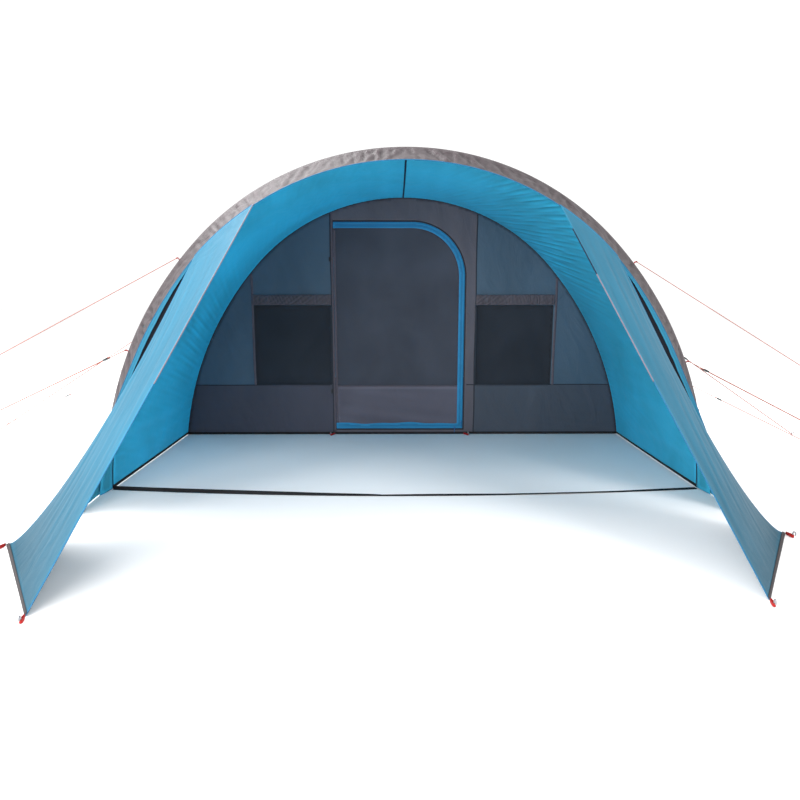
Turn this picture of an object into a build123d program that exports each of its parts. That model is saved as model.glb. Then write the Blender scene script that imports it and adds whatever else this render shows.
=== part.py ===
from build123d import *
import os
from math import acos, cos, degrees, pi, radians, sin, tan

# Tunnel tent with a deep open porch, set up on flat ground. Millimetres, +Z up, ground at Z = 0.
# +X is to the right of someone who looks into the porch, and the porch opens towards -Y.
# The origin is on the ground in the middle of the pitched tent, guy lines left out.

# ---- Driving dimensions ----
FRONT_POLE_Y = -1131.0
PORCH_DEPTH = 1510.0
CABIN_LENGTH = 1490.0
TAIL_LENGTH = 780.0
CLOTH = 3.0
PANEL = 2.0
GROUNDSHEET_THICKNESS = 4.0

POLE_RADIUS = 6.35
POLE_BORE = 4.45
SLEEVE_RADIUS = 18.0
SLEEVE_WALL = 2.0
SLEEVE_LIFT = 60.0
POLE_LIFT = 22.0
FERRULE_LENGTH = 70.0
FERRULE_WALL = 0.9
FERRULE_GAP = 0.1
POLE_SECTIONS = 7
POLE_SECTION_GAP = 0.25
SHOCK_CORD_RADIUS = 1.5
SHOCK_CORD_STOP = 12.0
PIN_RADIUS = 3.4
PIN_REACH = 70.0
PIN_LIFT = 6.0
FOOT_TAB = 30.0
FOOT_LOOP_START = 18.0
FOOT_LOOP_SPLAY = 0.35

HOOD_DEPTH = 215.0
HOOD_FLARE_OUT = 65.0
HOOD_FLARE_FORWARD = 245.0
HOOD_FLARE_HEIGHT = 900.0
HOOD_TRIM_SHARE = 0.16
HOOD_TRIM_TAPER = 0.17
HOOD_STEPS = 40
WING_TOP_INNER_ANGLE = 31.5
WING_TOP_OUTER_ANGLE = 47.0
# Each wing's stakes: distance from the middle and Y from the front pole, left (-1) and right (1).
WING_INNER_STAKE = {-1: (1492.0, -1524.0), 1: (1453.0, -1423.0)}
WING_OUTER_STAKE = {-1: (1983.0, -857.0), 1: (1948.0, -742.0)}
WING_EDGE_BOW = 50.0
WING_STEPS = 24
WING_COLUMNS = 4
EDGE_GAP = 4.0
HEM_LIFT = 2.0
WING_TOP_GAP = Vector(0.6, -0.8, 0) * 2 * EDGE_GAP

DOOR_LEFT = -585.0
DOOR_RIGHT = 525.0
DOOR_BOTTOM = 50.0
DOOR_TOP = 1810.0
DOOR_CORNER = 450.0
DOOR_GAP = 1.0
DOOR_BAND = 50.0
DOOR_MESH_BOTTOM = 435.0
DOOR_STILE = 18.0
ZIP_TAPE = 12.0
FLAP = 1.2
MESH = 1.0
MESH_LAP = 14.0
MESH_STILE_LAP = 6.0
TOGGLE_HEIGHTS = (385.0, 1505.0)
TOGGLE_OFFSET = 32.0
TOGGLE_STEM = (2.0, 14.0)
TOGGLE_BAR = (5.0, 36.0)

WINDOW_WIDTH = 650.0
WINDOW_BOTTOM = 445.0
WINDOW_TOP = 1120.0
WINDOW_LEFT_X = -942.0
WINDOW_RIGHT_X = 955.0
WINDOW_LAP = 18.0
BLIND_HEIGHT = 96.0
BLIND_THICKNESS = 22.0
BLIND_OVERHANG = 6.0
BLIND_CLEARANCE = 0.5

STRAP_WIDTH = 25.0
STRAP_THICKNESS = 1.5
STRAP_BOW = 120.0
STRAP_END_GAP = 40.0
STRAP_SETBACK = 14.0

GUY_RADIUS = 2.0
GUY_SPACING = 15.0
GUY_TURN = 0.45 * GUY_SPACING
GUY_HEIGHT_AT_PEG = 14.0
GUY_TAB_START = 18.5
GUY_TAB_END = 31.0
GUY_TAB_WIDTH = 16.0
GUY_KNOT_OUT = 36.0
RUNNER_LENGTH = 34.0
RUNNER_WIDTH = 28.0
RUNNER_THICKNESS = 9.0
RUNNER_BORE = 2.5
KNOT_RADIUS = 4.5
KNOT_LENGTH = 10.0
RUNNER_TO_KNOT = 6.0
BORE_MARGIN = 5.0

PEG_RADIUS = 3.0
PEG_HEIGHT = 36.0
PEG_HOOK = 16.0
PEG_BEND = 7.0
LOOP_WIDTH = 16.0
LOOP_THICKNESS = 2.0
LOOP_REACH = 60.0
LOOP_HOLE = 3.6
LOOP_EYE_MARGIN = 10.0
WALL_LOOP_OFFSET = 35.0
STAKE_LOOP_START = 8.0
TAIL_LOOP_INSET = 60.0

PANEL_SETBACK = 8.0
PANEL_CLEARANCE = 1.0
TAIL_PANEL_SETBACK = 5.0
GROUNDSHEET_INSET = 25.0
GROUNDSHEET_END_GAP = 12.0

WALL_POLE_Y = FRONT_POLE_Y + PORCH_DEPTH
REAR_POLE_Y = WALL_POLE_Y + CABIN_LENGTH
TAIL_Y = REAR_POLE_Y + TAIL_LENGTH
WALL_Y = WALL_POLE_Y - PANEL_SETBACK


class Arch:
    """A pole arch in a plane of constant Y: a crown arc with a tangent arc down each side.

    Angles are in degrees from straight up, positive to the right. The height is the skin's.
    """

    def __init__(self, y, height, crown_radius, crown_angle, side_radius):
        self.y = y
        self.crown_radius = crown_radius
        self.crown_angle = crown_angle
        self.side_radius = side_radius
        self.crown_z = height - crown_radius
        spread = crown_radius - side_radius
        self.side_x = spread * sin(radians(crown_angle))
        self.side_z = self.crown_z + spread * cos(radians(crown_angle))

    def foot_angle(self, out=0.0, z=0.0):
        return degrees(acos((z - self.side_z) / (self.side_radius + out)))

    def at(self, angle, out=0.0):
        turn = radians(abs(angle))
        hand = 1 if angle >= 0 else -1
        if abs(angle) <= self.crown_angle:
            radius, x, z = self.crown_radius, 0.0, self.crown_z
        else:
            radius, x, z = self.side_radius, self.side_x, self.side_z
        radius += out
        return Vector(hand * (x + radius * sin(turn)), self.y, z + radius * cos(turn))

    def edges(self, start, end, out=0.0):
        """The arcs between two angles, start below end."""
        stops = [a for a in (-self.crown_angle, self.crown_angle) if start < a < end]
        stops = [start, *stops, end]
        return [
            Edge.make_three_point_arc(self.at(a, out), self.at((a + b) / 2, out), self.at(b, out))
            for a, b in zip(stops, stops[1:])
        ]

    def band(self, inner, outer):
        """The closed outline between two offsets of the skin, standing on the ground."""
        wide = self.foot_angle(outer)
        slim = self.foot_angle(inner)
        edges = self.edges(-wide, wide, outer)
        edges.append(Edge.make_line(self.at(wide, outer), self.at(slim, inner)))
        edges += self.edges(-slim, slim, inner)
        edges.append(Edge.make_line(self.at(-slim, inner), self.at(-wide, outer)))
        return Wire(edges)

    def disc(self, out):
        """The closed face under the skin at an offset."""
        foot = self.foot_angle(out)
        edges = self.edges(-foot, foot, out)
        edges.append(Edge.make_line(self.at(foot, out), self.at(-foot, out)))
        return Face(Wire(edges))

    def tube(self, start, end, out, radius, bore=0.0):
        """A round tube that follows the arch between two angles."""
        path = Wire(self.edges(start, end, out))
        plane = Plane(origin=path @ 0, z_dir=path % 0)
        profile = Circle(radius)
        if bore:
            profile -= Circle(bore)
        return sweep(plane * profile, path=path)


FRONT_ARCH = Arch(FRONT_POLE_Y, 2019.0, 1700.0, 46.0, 2288.0)
WALL_ARCH = Arch(WALL_POLE_Y, 2003.0, 1657.0, 47.9, 2653.0)
REAR_ARCH = Arch(REAR_POLE_Y, 1800.0, 1490.0, 47.9, 2385.0)
TAIL_ARCH = Arch(TAIL_Y, 320.0, 2600.0, 24.0, 300.0)
HOOD_ARCH = Arch(FRONT_POLE_Y - HOOD_DEPTH, 1945.0, 1612.0, 49.3, 2421.0)
ARCHES = {"front": FRONT_ARCH, "middle": WALL_ARCH, "rear": REAR_ARCH}
POLE_OUT = CLOTH / 2 + SLEEVE_RADIUS + 0.5


# ---- Helpers ----
def save(name, *solids):
    shapes = [piece for solid in solids for piece in solid.solids()]
    export_step(shapes[0] if len(shapes) == 1 else Compound(children=shapes), f"parts/{name}.step")


def cloth(rows, thickness):
    """A closed sheet of even thickness over a grid of points."""
    count, width = len(rows), len(rows[0])
    above, below = [], []
    for i in range(count):
        top, low = [], []
        for j in range(width):
            along = rows[min(i + 1, count - 1)][j] - rows[max(i - 1, 0)][j]
            across = rows[i][min(j + 1, width - 1)] - rows[i][max(j - 1, 0)]
            normal = along.cross(across).normalized() * (thickness / 2)
            top.append(rows[i][j] + normal)
            low.append(rows[i][j] - normal)
        above.append(top)
        below.append(low)
    cells = []
    for i in range(count - 1):
        for j in range(width - 1):
            for side in (above, below):
                cells.append((side[i][j], side[i + 1][j], side[i + 1][j + 1], side[i][j + 1]))
    rim = [(i, 0) for i in range(count)]
    rim += [(count - 1, j) for j in range(1, width)]
    rim += [(i, width - 1) for i in range(count - 2, -1, -1)]
    rim += [(0, j) for j in range(width - 2, 0, -1)]
    for (a, b), (c, d) in zip(rim, rim[1:] + rim[:1]):
        cells.append((above[a][b], above[c][d], below[c][d], below[a][b]))
    faces = []
    for a, b, c, d in cells:
        faces.append(Face(Wire.make_polygon([a, b, c])))
        faces.append(Face(Wire.make_polygon([a, c, d])))
    return Solid(Shell(faces))


def plate(face, thickness):
    """A flat panel that runs from the face's plane towards +Y."""
    return Solid.extrude(face, Vector(0, thickness, 0))


def outline(left, right, bottom, top, corner, y):
    """A door-shaped face in a plane of constant Y, with one large round top right corner."""
    bend = corner * (1 - cos(radians(45)))
    edges = [
        Edge.make_line((left, y, bottom), (right, y, bottom)),
        Edge.make_line((right, y, bottom), (right, y, top - corner)),
        Edge.make_three_point_arc(
            (right, y, top - corner), (right - bend, y, top - bend), (right - corner, y, top)
        ),
        Edge.make_line((right - corner, y, top), (left, y, top)),
        Edge.make_line((left, y, top), (left, y, bottom)),
    ]
    return Face(Wire(edges))


def rectangle(left, right, bottom, top, y):
    corners = [(left, y, bottom), (right, y, bottom), (right, y, top), (left, y, top)]
    return Face(Wire.make_polygon([Vector(*c) for c in corners]))


def block(origin, along, across, length, width, thickness):
    """A box that starts at a point and runs along a direction."""
    plane = Plane(origin=origin, x_dir=across, z_dir=along)
    return plane * Box(width, thickness, length, align=(Align.CENTER, Align.CENTER, Align.MIN))


def rod(start, direction, length, radius):
    plane = Plane(origin=start, z_dir=direction)
    return plane * Cylinder(radius, length, align=(Align.CENTER, Align.CENTER, Align.MIN))


def peg(point, away):
    """The part of a steel hook peg that stays above the ground, its hook pointing away."""
    ground = Vector(point.X, point.Y, 0)
    flat = Vector(away.X, away.Y, 0).normalized()
    top = ground + Vector(0, 0, PEG_HEIGHT - PEG_RADIUS)
    over = top + flat * PEG_HOOK
    down = over - Vector(0, 0, PEG_HOOK)
    path = Wire(FilletPolyline(ground, top, over, down, radius=PEG_BEND).edges())
    return sweep(Plane(origin=ground, z_dir=(0, 0, 1)) * Circle(PEG_RADIUS), path=path)


def peg_loop(corner, away, reach=LOOP_REACH):
    """A webbing loop that lies on the ground from a hem to a peg, with the peg through it."""
    flat = Vector(away.X, away.Y, 0).normalized()
    across = Vector(-flat.Y, flat.X, 0)
    start = Vector(corner.X, corner.Y, LOOP_THICKNESS / 2) + flat * EDGE_GAP
    strip = block(start, flat, across, reach, LOOP_WIDTH, LOOP_THICKNESS)
    centre = start + flat * (reach - LOOP_EYE_MARGIN)
    eye = Location(centre) * Cylinder(LOOP_HOLE, 2 * LOOP_THICKNESS)
    return strip - eye, peg(centre, flat)


# ---- Fly sheets, tail and groundsheet ----
def skin(first, last):
    return Solid.make_loft([arch.band(-CLOTH / 2, CLOTH / 2) for arch in (first, last)], ruled=True)


def groundsheet():
    near_y = WALL_POLE_Y + GROUNDSHEET_END_GAP
    far_y = TAIL_Y - GROUNDSHEET_END_GAP
    corners = [(WALL_ARCH, near_y), (REAR_ARCH, REAR_POLE_Y), (TAIL_ARCH, far_y)]
    half = [(arch.at(arch.foot_angle()).X - GROUNDSHEET_INSET, y) for arch, y in corners]
    points = half + [(-x, y) for x, y in reversed(half)]
    face = Face(Wire.make_polygon([Vector(x, y, 0) for x, y in points]))
    return Solid.extrude(face, Vector(0, 0, GROUNDSHEET_THICKNESS))


save("porch_fly", skin(FRONT_ARCH, WALL_ARCH))
save("cabin_fly", skin(WALL_ARCH, REAR_ARCH))
save("tail_fly", skin(REAR_ARCH, TAIL_ARCH))
tail_face = TAIL_ARCH.disc(-CLOTH / 2 - PANEL_CLEARANCE).moved(Location((0, -TAIL_PANEL_SETBACK, 0)))
save("tail_end_panel", plate(tail_face, CLOTH))
save("groundsheet", groundsheet())


# ---- Hood and wings in front of the front pole ----
def hood_edge(angle):
    """A point of the hood's free front edge, which flares out and forward near the ground."""
    point = HOOD_ARCH.at(angle)
    flare = max(0.0, 1 - point.Z / HOOD_FLARE_HEIGHT) ** 2
    hand = 1 if angle >= 0 else -1
    return point + Vector(hand * HOOD_FLARE_OUT * flare, -HOOD_FLARE_FORWARD * flare, 0)


def hood_point(share, across):
    """A point of the hood: across runs from foot to foot, 0 at the pole and 1 at the edge."""
    back = FRONT_ARCH.at(share * FRONT_ARCH.foot_angle(z=HEM_LIFT))
    front = hood_edge(share * HOOD_ARCH.foot_angle(z=HEM_LIFT))
    back = back + Vector(0, -EDGE_GAP, 0)
    return back + (front - back) * across


def hood_grid(first, last, near, far, rows, taper=0.0):
    """Rows of points along the hood. With a taper, the far edge starts close to the near one."""
    steps = max(2, round(HOOD_STEPS * abs(last - first) / 2))
    grid = []
    for j in range(rows + 1):
        row = []
        for i in range(steps + 1):
            share = first + (last - first) * i / steps
            full = min(1.0, 0.1 + abs(share - first) / taper) if taper else 1.0
            row.append(hood_point(share, near + (far - near) * full * j / rows))
        grid.append(row)
    return grid


def wing_grid(hand):
    """The wing hangs from the hood's edge and its lower edge runs between two stakes."""
    rows = []
    for i in range(WING_STEPS + 1):
        fall = i / WING_STEPS
        row = []
        for j in range(WING_COLUMNS + 1):
            side = j / WING_COLUMNS
            top = hood_edge(WING_TOP_INNER_ANGLE + (WING_TOP_OUTER_ANGLE - WING_TOP_INNER_ANGLE) * side)
            top = top + WING_TOP_GAP
            inner = Vector(*WING_INNER_STAKE[hand])
            outer = Vector(*WING_OUTER_STAKE[hand])
            foot = inner + (outer - inner) * side + Vector(0, FRONT_POLE_Y, HEM_LIFT)
            point = top + (foot - top) * fall
            bow = WING_EDGE_BOW * 4 * fall * (1 - fall) * side * side
            row.append(Vector(hand * (point.X - bow), point.Y, point.Z))
        rows.append(row)
    return rows


save("hood", cloth(hood_grid(-1, 1, 0, 1, 3), CLOTH))
trim_start = (WING_TOP_OUTER_ANGLE + 1.5) / HOOD_ARCH.foot_angle()
trims = [
    cloth(hood_grid(hand * trim_start, hand, 1.02, 1 + HOOD_TRIM_SHARE, 1, HOOD_TRIM_TAPER), CLOTH)
    for hand in (-1, 1)
]
save("hood_trim", *trims)
save("wing_left", cloth(wing_grid(-1), CLOTH))
save("wing_right", cloth(wing_grid(1), CLOTH))

# ---- Poles, sleeves and what holds the pole feet ----
ferrules, pins, foot_tabs, shock_cords, hem_loops, hem_pegs = [], [], [], [], [], []
for name, arch in ARCHES.items():
    sleeve_end = arch.foot_angle(POLE_OUT, SLEEVE_LIFT)
    pole_end = arch.foot_angle(POLE_OUT, POLE_LIFT)
    sleeve_bore = SLEEVE_RADIUS - SLEEVE_WALL
    save(f"pole_sleeve_{name}", arch.tube(-sleeve_end, sleeve_end, POLE_OUT, SLEEVE_RADIUS, sleeve_bore))
    step = 2 * pole_end / POLE_SECTIONS
    joints = [-pole_end + step * i for i in range(POLE_SECTIONS + 1)]
    crack = degrees(POLE_SECTION_GAP / arch.side_radius)
    sections = [
        arch.tube(a + crack, b - crack, POLE_OUT, POLE_RADIUS, POLE_BORE)
        for a, b in zip(joints, joints[1:])
    ]
    save(f"pole_{name}", *sections)
    inner = POLE_RADIUS + FERRULE_GAP
    half = degrees(FERRULE_LENGTH / 2 / arch.side_radius)
    ferrules += [
        arch.tube(a - half, a + half, POLE_OUT, inner + FERRULE_WALL, inner) for a in joints[1:-1]
    ]
    pin_end = arch.foot_angle(POLE_OUT, POLE_LIFT + PIN_REACH)
    cord_end = pin_end - degrees(SHOCK_CORD_STOP / arch.side_radius)
    shock_cords.append(arch.tube(-cord_end, cord_end, POLE_OUT, SHOCK_CORD_RADIUS))
    for hand in (-1, 1):
        foot = arch.at(hand * arch.foot_angle(POLE_OUT, PIN_LIFT), POLE_OUT)
        tip = arch.at(hand * pin_end, POLE_OUT)
        pins.append(rod(foot, tip - foot, (tip - foot).length, PIN_RADIUS))
        base = Vector(foot.X, foot.Y, LOOP_THICKNESS / 2)
        tab = block(base, Vector(0, 0, 1), Vector(1, 0, 0), LOOP_THICKNESS, FOOT_TAB, FOOT_TAB)
        foot_tabs.append(tab)
        away = Vector(hand, -FOOT_LOOP_SPLAY if name == "front" else 0.0, 0)
        loop, hook = peg_loop(base + away.normalized() * FOOT_LOOP_START, away)
        hem_loops.append(loop)
        hem_pegs.append(hook)
save("pole_ferrules", *ferrules)
save("shock_cords", *shock_cords)
save("pole_pins", *pins)
save("pole_foot_tabs", *foot_tabs)

# ---- Strap between the feet of the front pole ----
strap_half = FRONT_ARCH.at(FRONT_ARCH.foot_angle()).X - STRAP_END_GAP
strap_radius = (strap_half**2 + STRAP_BOW**2) / (2 * STRAP_BOW)
strap_y = FRONT_POLE_Y - STRAP_SETBACK


def strap_arc(offset):
    centre_y = strap_y - STRAP_BOW + strap_radius
    radius = strap_radius + offset
    reach = strap_half
    drop = (radius**2 - reach**2) ** 0.5
    ends = [Vector(x, centre_y - drop, 0) for x in (-reach, reach)]
    return Edge.make_three_point_arc(ends[0], Vector(0, centre_y - radius, 0), ends[1])


near_side = strap_arc(STRAP_WIDTH / 2)
far_side = strap_arc(-STRAP_WIDTH / 2)
strap_ends = [Edge.make_line(near_side @ i, far_side @ i) for i in (0, 1)]
strap_face = Face(Wire([near_side, far_side, *strap_ends]))
save("ground_strap", Solid.extrude(strap_face, Vector(0, 0, STRAP_THICKNESS)))

# ---- Front wall of the cabin, with its windows ----
door_hole = outline(DOOR_LEFT, DOOR_RIGHT, DOOR_BOTTOM, DOOR_TOP, DOOR_CORNER, WALL_Y)
wall_face = WALL_ARCH.disc(-CLOTH / 2 - PANEL_CLEARANCE).moved(Location((0, -PANEL_SETBACK, 0)))
wall = plate(wall_face, PANEL) - plate(door_hole, PANEL)
for name, centre in (("left", WINDOW_LEFT_X), ("right", WINDOW_RIGHT_X)):
    left = centre - WINDOW_WIDTH / 2
    right = centre + WINDOW_WIDTH / 2
    wall -= plate(rectangle(left, right, WINDOW_BOTTOM, WINDOW_TOP, WALL_Y), PANEL)
    lap = (left - WINDOW_LAP, right + WINDOW_LAP, WINDOW_BOTTOM - WINDOW_LAP, WINDOW_TOP + WINDOW_LAP)
    save(f"window_mesh_{name}", plate(rectangle(*lap, WALL_Y + PANEL), MESH))
    roll = SlotOverall(BLIND_HEIGHT, BLIND_THICKNESS)
    roll_y = WALL_Y - BLIND_THICKNESS / 2 - BLIND_CLEARANCE
    corner = Vector(left - BLIND_OVERHANG, roll_y, WINDOW_TOP + BLIND_HEIGHT / 2)
    start = Plane(origin=corner, x_dir=(0, 0, 1), z_dir=(1, 0, 0))
    save(f"window_blind_{name}", extrude(start * roll, WINDOW_WIDTH + 2 * BLIND_OVERHANG))
save("front_wall", wall)

# ---- Door leaf, its zip and its toggles ----
leaf_left = DOOR_LEFT + DOOR_GAP
leaf_right = DOOR_RIGHT - DOOR_GAP
leaf_bottom = DOOR_BOTTOM + DOOR_GAP
leaf_top = DOOR_TOP - DOOR_GAP
leaf_corner = DOOR_CORNER - DOOR_GAP


def inset(left, right, bottom, top, y, thickness):
    """A door-shaped plate inside the leaf's edge by a margin on each side."""
    corner = max(leaf_corner - right, 1.0)
    sides = (leaf_left + left, leaf_right - right, leaf_bottom + bottom, leaf_top - top)
    return plate(outline(*sides, corner, y), thickness)


mesh_bottom = DOOR_MESH_BOTTOM - leaf_bottom
mesh_edge = DOOR_BAND - MESH_LAP
flap_y = WALL_Y - FLAP
leaf = inset(0, 0, 0, 0, WALL_Y, PANEL)
leaf -= inset(DOOR_STILE, DOOR_BAND, mesh_bottom, DOOR_BAND, WALL_Y, PANEL)
save("door_leaf", leaf)
mesh_margins = (MESH_STILE_LAP, mesh_edge, mesh_bottom - MESH_LAP, mesh_edge)
save("door_mesh", inset(*mesh_margins, WALL_Y + PANEL, MESH))
band = inset(0, 0, 0, 0, flap_y, FLAP)
band -= inset(-DOOR_GAP, DOOR_BAND, DOOR_BAND, DOOR_BAND, flap_y, FLAP)
save("door_zip_flap", band)
tape_edge = (DOOR_RIGHT + ZIP_TAPE, DOOR_BOTTOM - ZIP_TAPE, DOOR_TOP + ZIP_TAPE, DOOR_CORNER + ZIP_TAPE)
tape = outline(DOOR_LEFT, *tape_edge, flap_y)
zip_hole = outline(DOOR_LEFT - DOOR_GAP, DOOR_RIGHT, DOOR_BOTTOM, DOOR_TOP, DOOR_CORNER, flap_y)
save("door_zip_tape", plate(tape, FLAP) - plate(zip_hole, FLAP))

SLIDER = (9.0, 5.0, 14.0)
SLIDER_GAP = 0.4
SLIDER_FRONT_Y = flap_y - SLIDER_GAP - SLIDER[1]
SIDE_SLIDER = (DOOR_RIGHT - 14.0, DOOR_BOTTOM + 62.0)
BOTTOM_SLIDER = (DOOR_RIGHT - 70.0, DOOR_BOTTOM + 12.0)
PULL_LENGTH = 46.0
PULL_WIDTH = 5.4
PULL_THICKNESS = 3.8
PULL_EYE_DEPTH = 3.0
PIVOT_RADIUS = 1.2
PIVOT_CLEARANCE = 0.1
PIVOT_REACH = 4.2
PIVOT_WALL = 0.3
EAR = (1.5, PIVOT_REACH + 2.0, 4.0)
EAR_X = 3.75
for name, (x, z), turned in (("side", SIDE_SLIDER, False), ("bottom", BOTTOM_SLIDER, True)):
    wide, deep, tall = SLIDER if not turned else (SLIDER[2], SLIDER[1], SLIDER[0])
    body = Location((x, SLIDER_FRONT_Y + deep / 2, z)) * Box(wide, deep, tall)
    pivot_y = SLIDER_FRONT_Y - PIVOT_REACH
    ear_width = EAR_X + EAR[0] / 2
    pivot = rod(Vector(x - ear_width, pivot_y, z), Vector(1, 0, 0), 2 * ear_width, PIVOT_RADIUS)
    ear_y = SLIDER_FRONT_Y + EAR[1] / 2 - PIVOT_REACH - PIVOT_RADIUS - PIVOT_WALL
    ears = [Location((x + side * EAR_X, ear_y, z)) * Box(*EAR) for side in (-1, 1)]
    save(f"zip_slider_{name}", body + ears[0] + ears[1] + pivot)
    middle_z = z - PULL_LENGTH / 2 + PULL_EYE_DEPTH
    pull = Location((x, pivot_y, middle_z)) * Box(PULL_WIDTH, PULL_THICKNESS, PULL_LENGTH)
    eye_radius = PIVOT_RADIUS + PIVOT_CLEARANCE
    eye = rod(Vector(x - PULL_WIDTH, pivot_y, z), Vector(1, 0, 0), 2 * PULL_WIDTH, eye_radius)
    save(f"zip_pull_{name}", pull - eye)

toggles = []
stem_radius, stem_length = TOGGLE_STEM
bar_radius, bar_length = TOGGLE_BAR
for z in TOGGLE_HEIGHTS:
    root = Vector(DOOR_LEFT - TOGGLE_OFFSET, WALL_Y, z)
    stem = rod(root, Vector(0, -1, 0), stem_length, stem_radius)
    bar_start = root - Vector(0, stem_length - stem_radius, bar_length / 2)
    toggles.append(stem + rod(bar_start, Vector(0, 0, 1), bar_length, bar_radius))
save("door_toggles", *toggles)

# ---- Peg loops and pegs along the hems ----
for hand in (-1, 1):
    for stakes, away in (
        (WING_INNER_STAKE, Vector(-0.25 * hand, -1.0, 0)),
        (WING_OUTER_STAKE, Vector(0.22 * hand, -0.97, 0)),
    ):
        distance, along = stakes[hand]
        corner = Vector(hand * distance, FRONT_POLE_Y + along, 0) + away.normalized() * STAKE_LOOP_START
        loop, hook = peg_loop(corner, away, LOOP_REACH - STAKE_LOOP_START)
        hem_loops.append(loop)
        hem_pegs.append(hook)
    tail_x = TAIL_ARCH.at(TAIL_ARCH.foot_angle()).X - TAIL_LOOP_INSET
    tail_corner = Vector(hand * tail_x, TAIL_Y + EDGE_GAP, 0)
    loop, hook = peg_loop(tail_corner, Vector(0, 1, 0))
    hem_loops.append(loop)
    hem_pegs.append(hook)
for x, splay in ((DOOR_LEFT - WALL_LOOP_OFFSET, -0.15), (DOOR_RIGHT + WALL_LOOP_OFFSET, 0.15)):
    loop, hook = peg_loop(Vector(x, WALL_Y - PANEL, 0), Vector(splay, -1, 0))
    hem_loops.append(loop)
    hem_pegs.append(hook)
save("peg_loops", *hem_loops)
save("hem_pegs", *hem_pegs)

# ---- Guy lines: name, arch, height on the arch, peg's X and its Y from the front pole, runner's place ----
GUYS = [
    ("front_upper_left", FRONT_ARCH, -1, 1410.0, (-3780.0, -720.0), 1500.0),
    ("front_upper_right", FRONT_ARCH, 1, 1390.0, (3420.0, -680.0), 1400.0),
    ("front_lower_left", FRONT_ARCH, -1, 870.0, (-3660.0, 290.0), 110.0),
    ("front_lower_right", FRONT_ARCH, 1, 800.0, (3400.0, 250.0), 110.0),
    ("middle_upper_left", WALL_ARCH, -1, 1450.0, (-3620.0, 1600.0), 1500.0),
    ("middle_upper_right", WALL_ARCH, 1, 1400.0, (3400.0, 1420.0), 1300.0),
    ("middle_lower_left", WALL_ARCH, -1, 900.0, (-3600.0, 1210.0), 1250.0),
    ("middle_lower_right", WALL_ARCH, 1, 800.0, (3270.0, 800.0), 1000.0),
    ("rear_left", REAR_ARCH, -1, 1250.0, (-2450.0, 4500.0), 1100.0),
    ("rear_right", REAR_ARCH, 1, 1250.0, (2450.0, 4500.0), 1100.0),
]
tabs, guy_pegs, knots = [], [], []
for name, arch, hand, height, (peg_x, peg_q), runner_at in GUYS:
    angle = hand * arch.foot_angle(POLE_OUT, height)
    centre = arch.at(angle, POLE_OUT)
    outward = (arch.at(angle, POLE_OUT + 1.0) - centre).normalized()
    tab_start = centre + outward * GUY_TAB_START
    tab_length = GUY_TAB_END - GUY_TAB_START
    tabs.append(block(tab_start, outward, Vector(0, 1, 0), tab_length, GUY_TAB_WIDTH, LOOP_THICKNESS))
    peg_point = Vector(peg_x, FRONT_POLE_Y + peg_q, GUY_HEIGHT_AT_PEG)
    tied = centre + outward * GUY_KNOT_OUT
    line = (peg_point - tied).normalized()
    across = line.cross(Vector(0, 0, 1)).normalized()
    start = tied + line * KNOT_LENGTH
    first = peg_point + line * GUY_TURN + across * (GUY_SPACING / 2)
    run = (first - start).normalized()
    second = first - across * GUY_SPACING
    back = (first - start).length - runner_at
    end = second - run * back
    corners = (run.get_angle(-across), across.get_angle(run))
    radii = [GUY_TURN / tan(radians(corner) / 2) for corner in corners]
    path = Wire(FilletPolyline(start, first, second, end, radius=radii).edges())
    tube = sweep(Plane(origin=path @ 0, z_dir=path % 0) * Circle(GUY_RADIUS), path=path)
    filled = tube.volume / (path.length * pi * GUY_RADIUS**2)
    print(name, "length", round(path.length), "radii", [round(r, 1) for r in radii])
    print("   volume ratio", round(filled, 4))
    print("   route", [tuple(round(c, 1) for c in p) for p in (start, first, second, end)])
    save(f"guy_line_{name}", tube)
    knots.append(rod(end, -run, KNOT_LENGTH, KNOT_RADIUS))
    knots.append(rod(start, -run, KNOT_LENGTH, KNOT_RADIUS))
    guy_pegs.append(peg(peg_point, line))
    low = end + run * RUNNER_TO_KNOT
    body_start = low + across * (GUY_SPACING / 2)
    body = block(body_start, run, across, RUNNER_LENGTH, RUNNER_WIDTH, RUNNER_THICKNESS)
    for side in (0, 1):
        bore_start = low - run * BORE_MARGIN + across * GUY_SPACING * side
        body -= rod(bore_start, run, RUNNER_LENGTH + 2 * BORE_MARGIN, RUNNER_BORE)
    save(f"guy_runner_{name}", body)
    print("   runner axis", [round(c, 6) for c in run])
save("guy_tabs", *tabs)
save("guy_knots", *knots)
save("guy_pegs", *guy_pegs)
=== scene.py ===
import math
import bpy
import numpy as np
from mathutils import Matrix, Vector
from mathutils.geometry import delaunay_2d_cdt


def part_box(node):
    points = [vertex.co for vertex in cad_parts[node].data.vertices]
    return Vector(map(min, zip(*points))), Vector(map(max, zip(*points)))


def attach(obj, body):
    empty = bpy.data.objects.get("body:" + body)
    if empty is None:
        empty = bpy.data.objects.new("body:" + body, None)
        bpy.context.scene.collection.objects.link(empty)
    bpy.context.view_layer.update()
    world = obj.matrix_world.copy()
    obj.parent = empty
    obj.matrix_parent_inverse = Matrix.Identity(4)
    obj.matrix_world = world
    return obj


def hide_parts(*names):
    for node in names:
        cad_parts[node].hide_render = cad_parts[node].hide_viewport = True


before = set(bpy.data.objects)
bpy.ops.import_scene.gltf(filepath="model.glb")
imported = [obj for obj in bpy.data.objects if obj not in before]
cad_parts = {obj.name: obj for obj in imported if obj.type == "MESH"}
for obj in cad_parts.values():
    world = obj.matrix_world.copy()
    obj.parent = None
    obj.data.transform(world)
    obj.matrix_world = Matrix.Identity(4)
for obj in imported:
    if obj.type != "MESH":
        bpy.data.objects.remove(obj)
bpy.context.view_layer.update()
scene = bpy.context.scene

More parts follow.
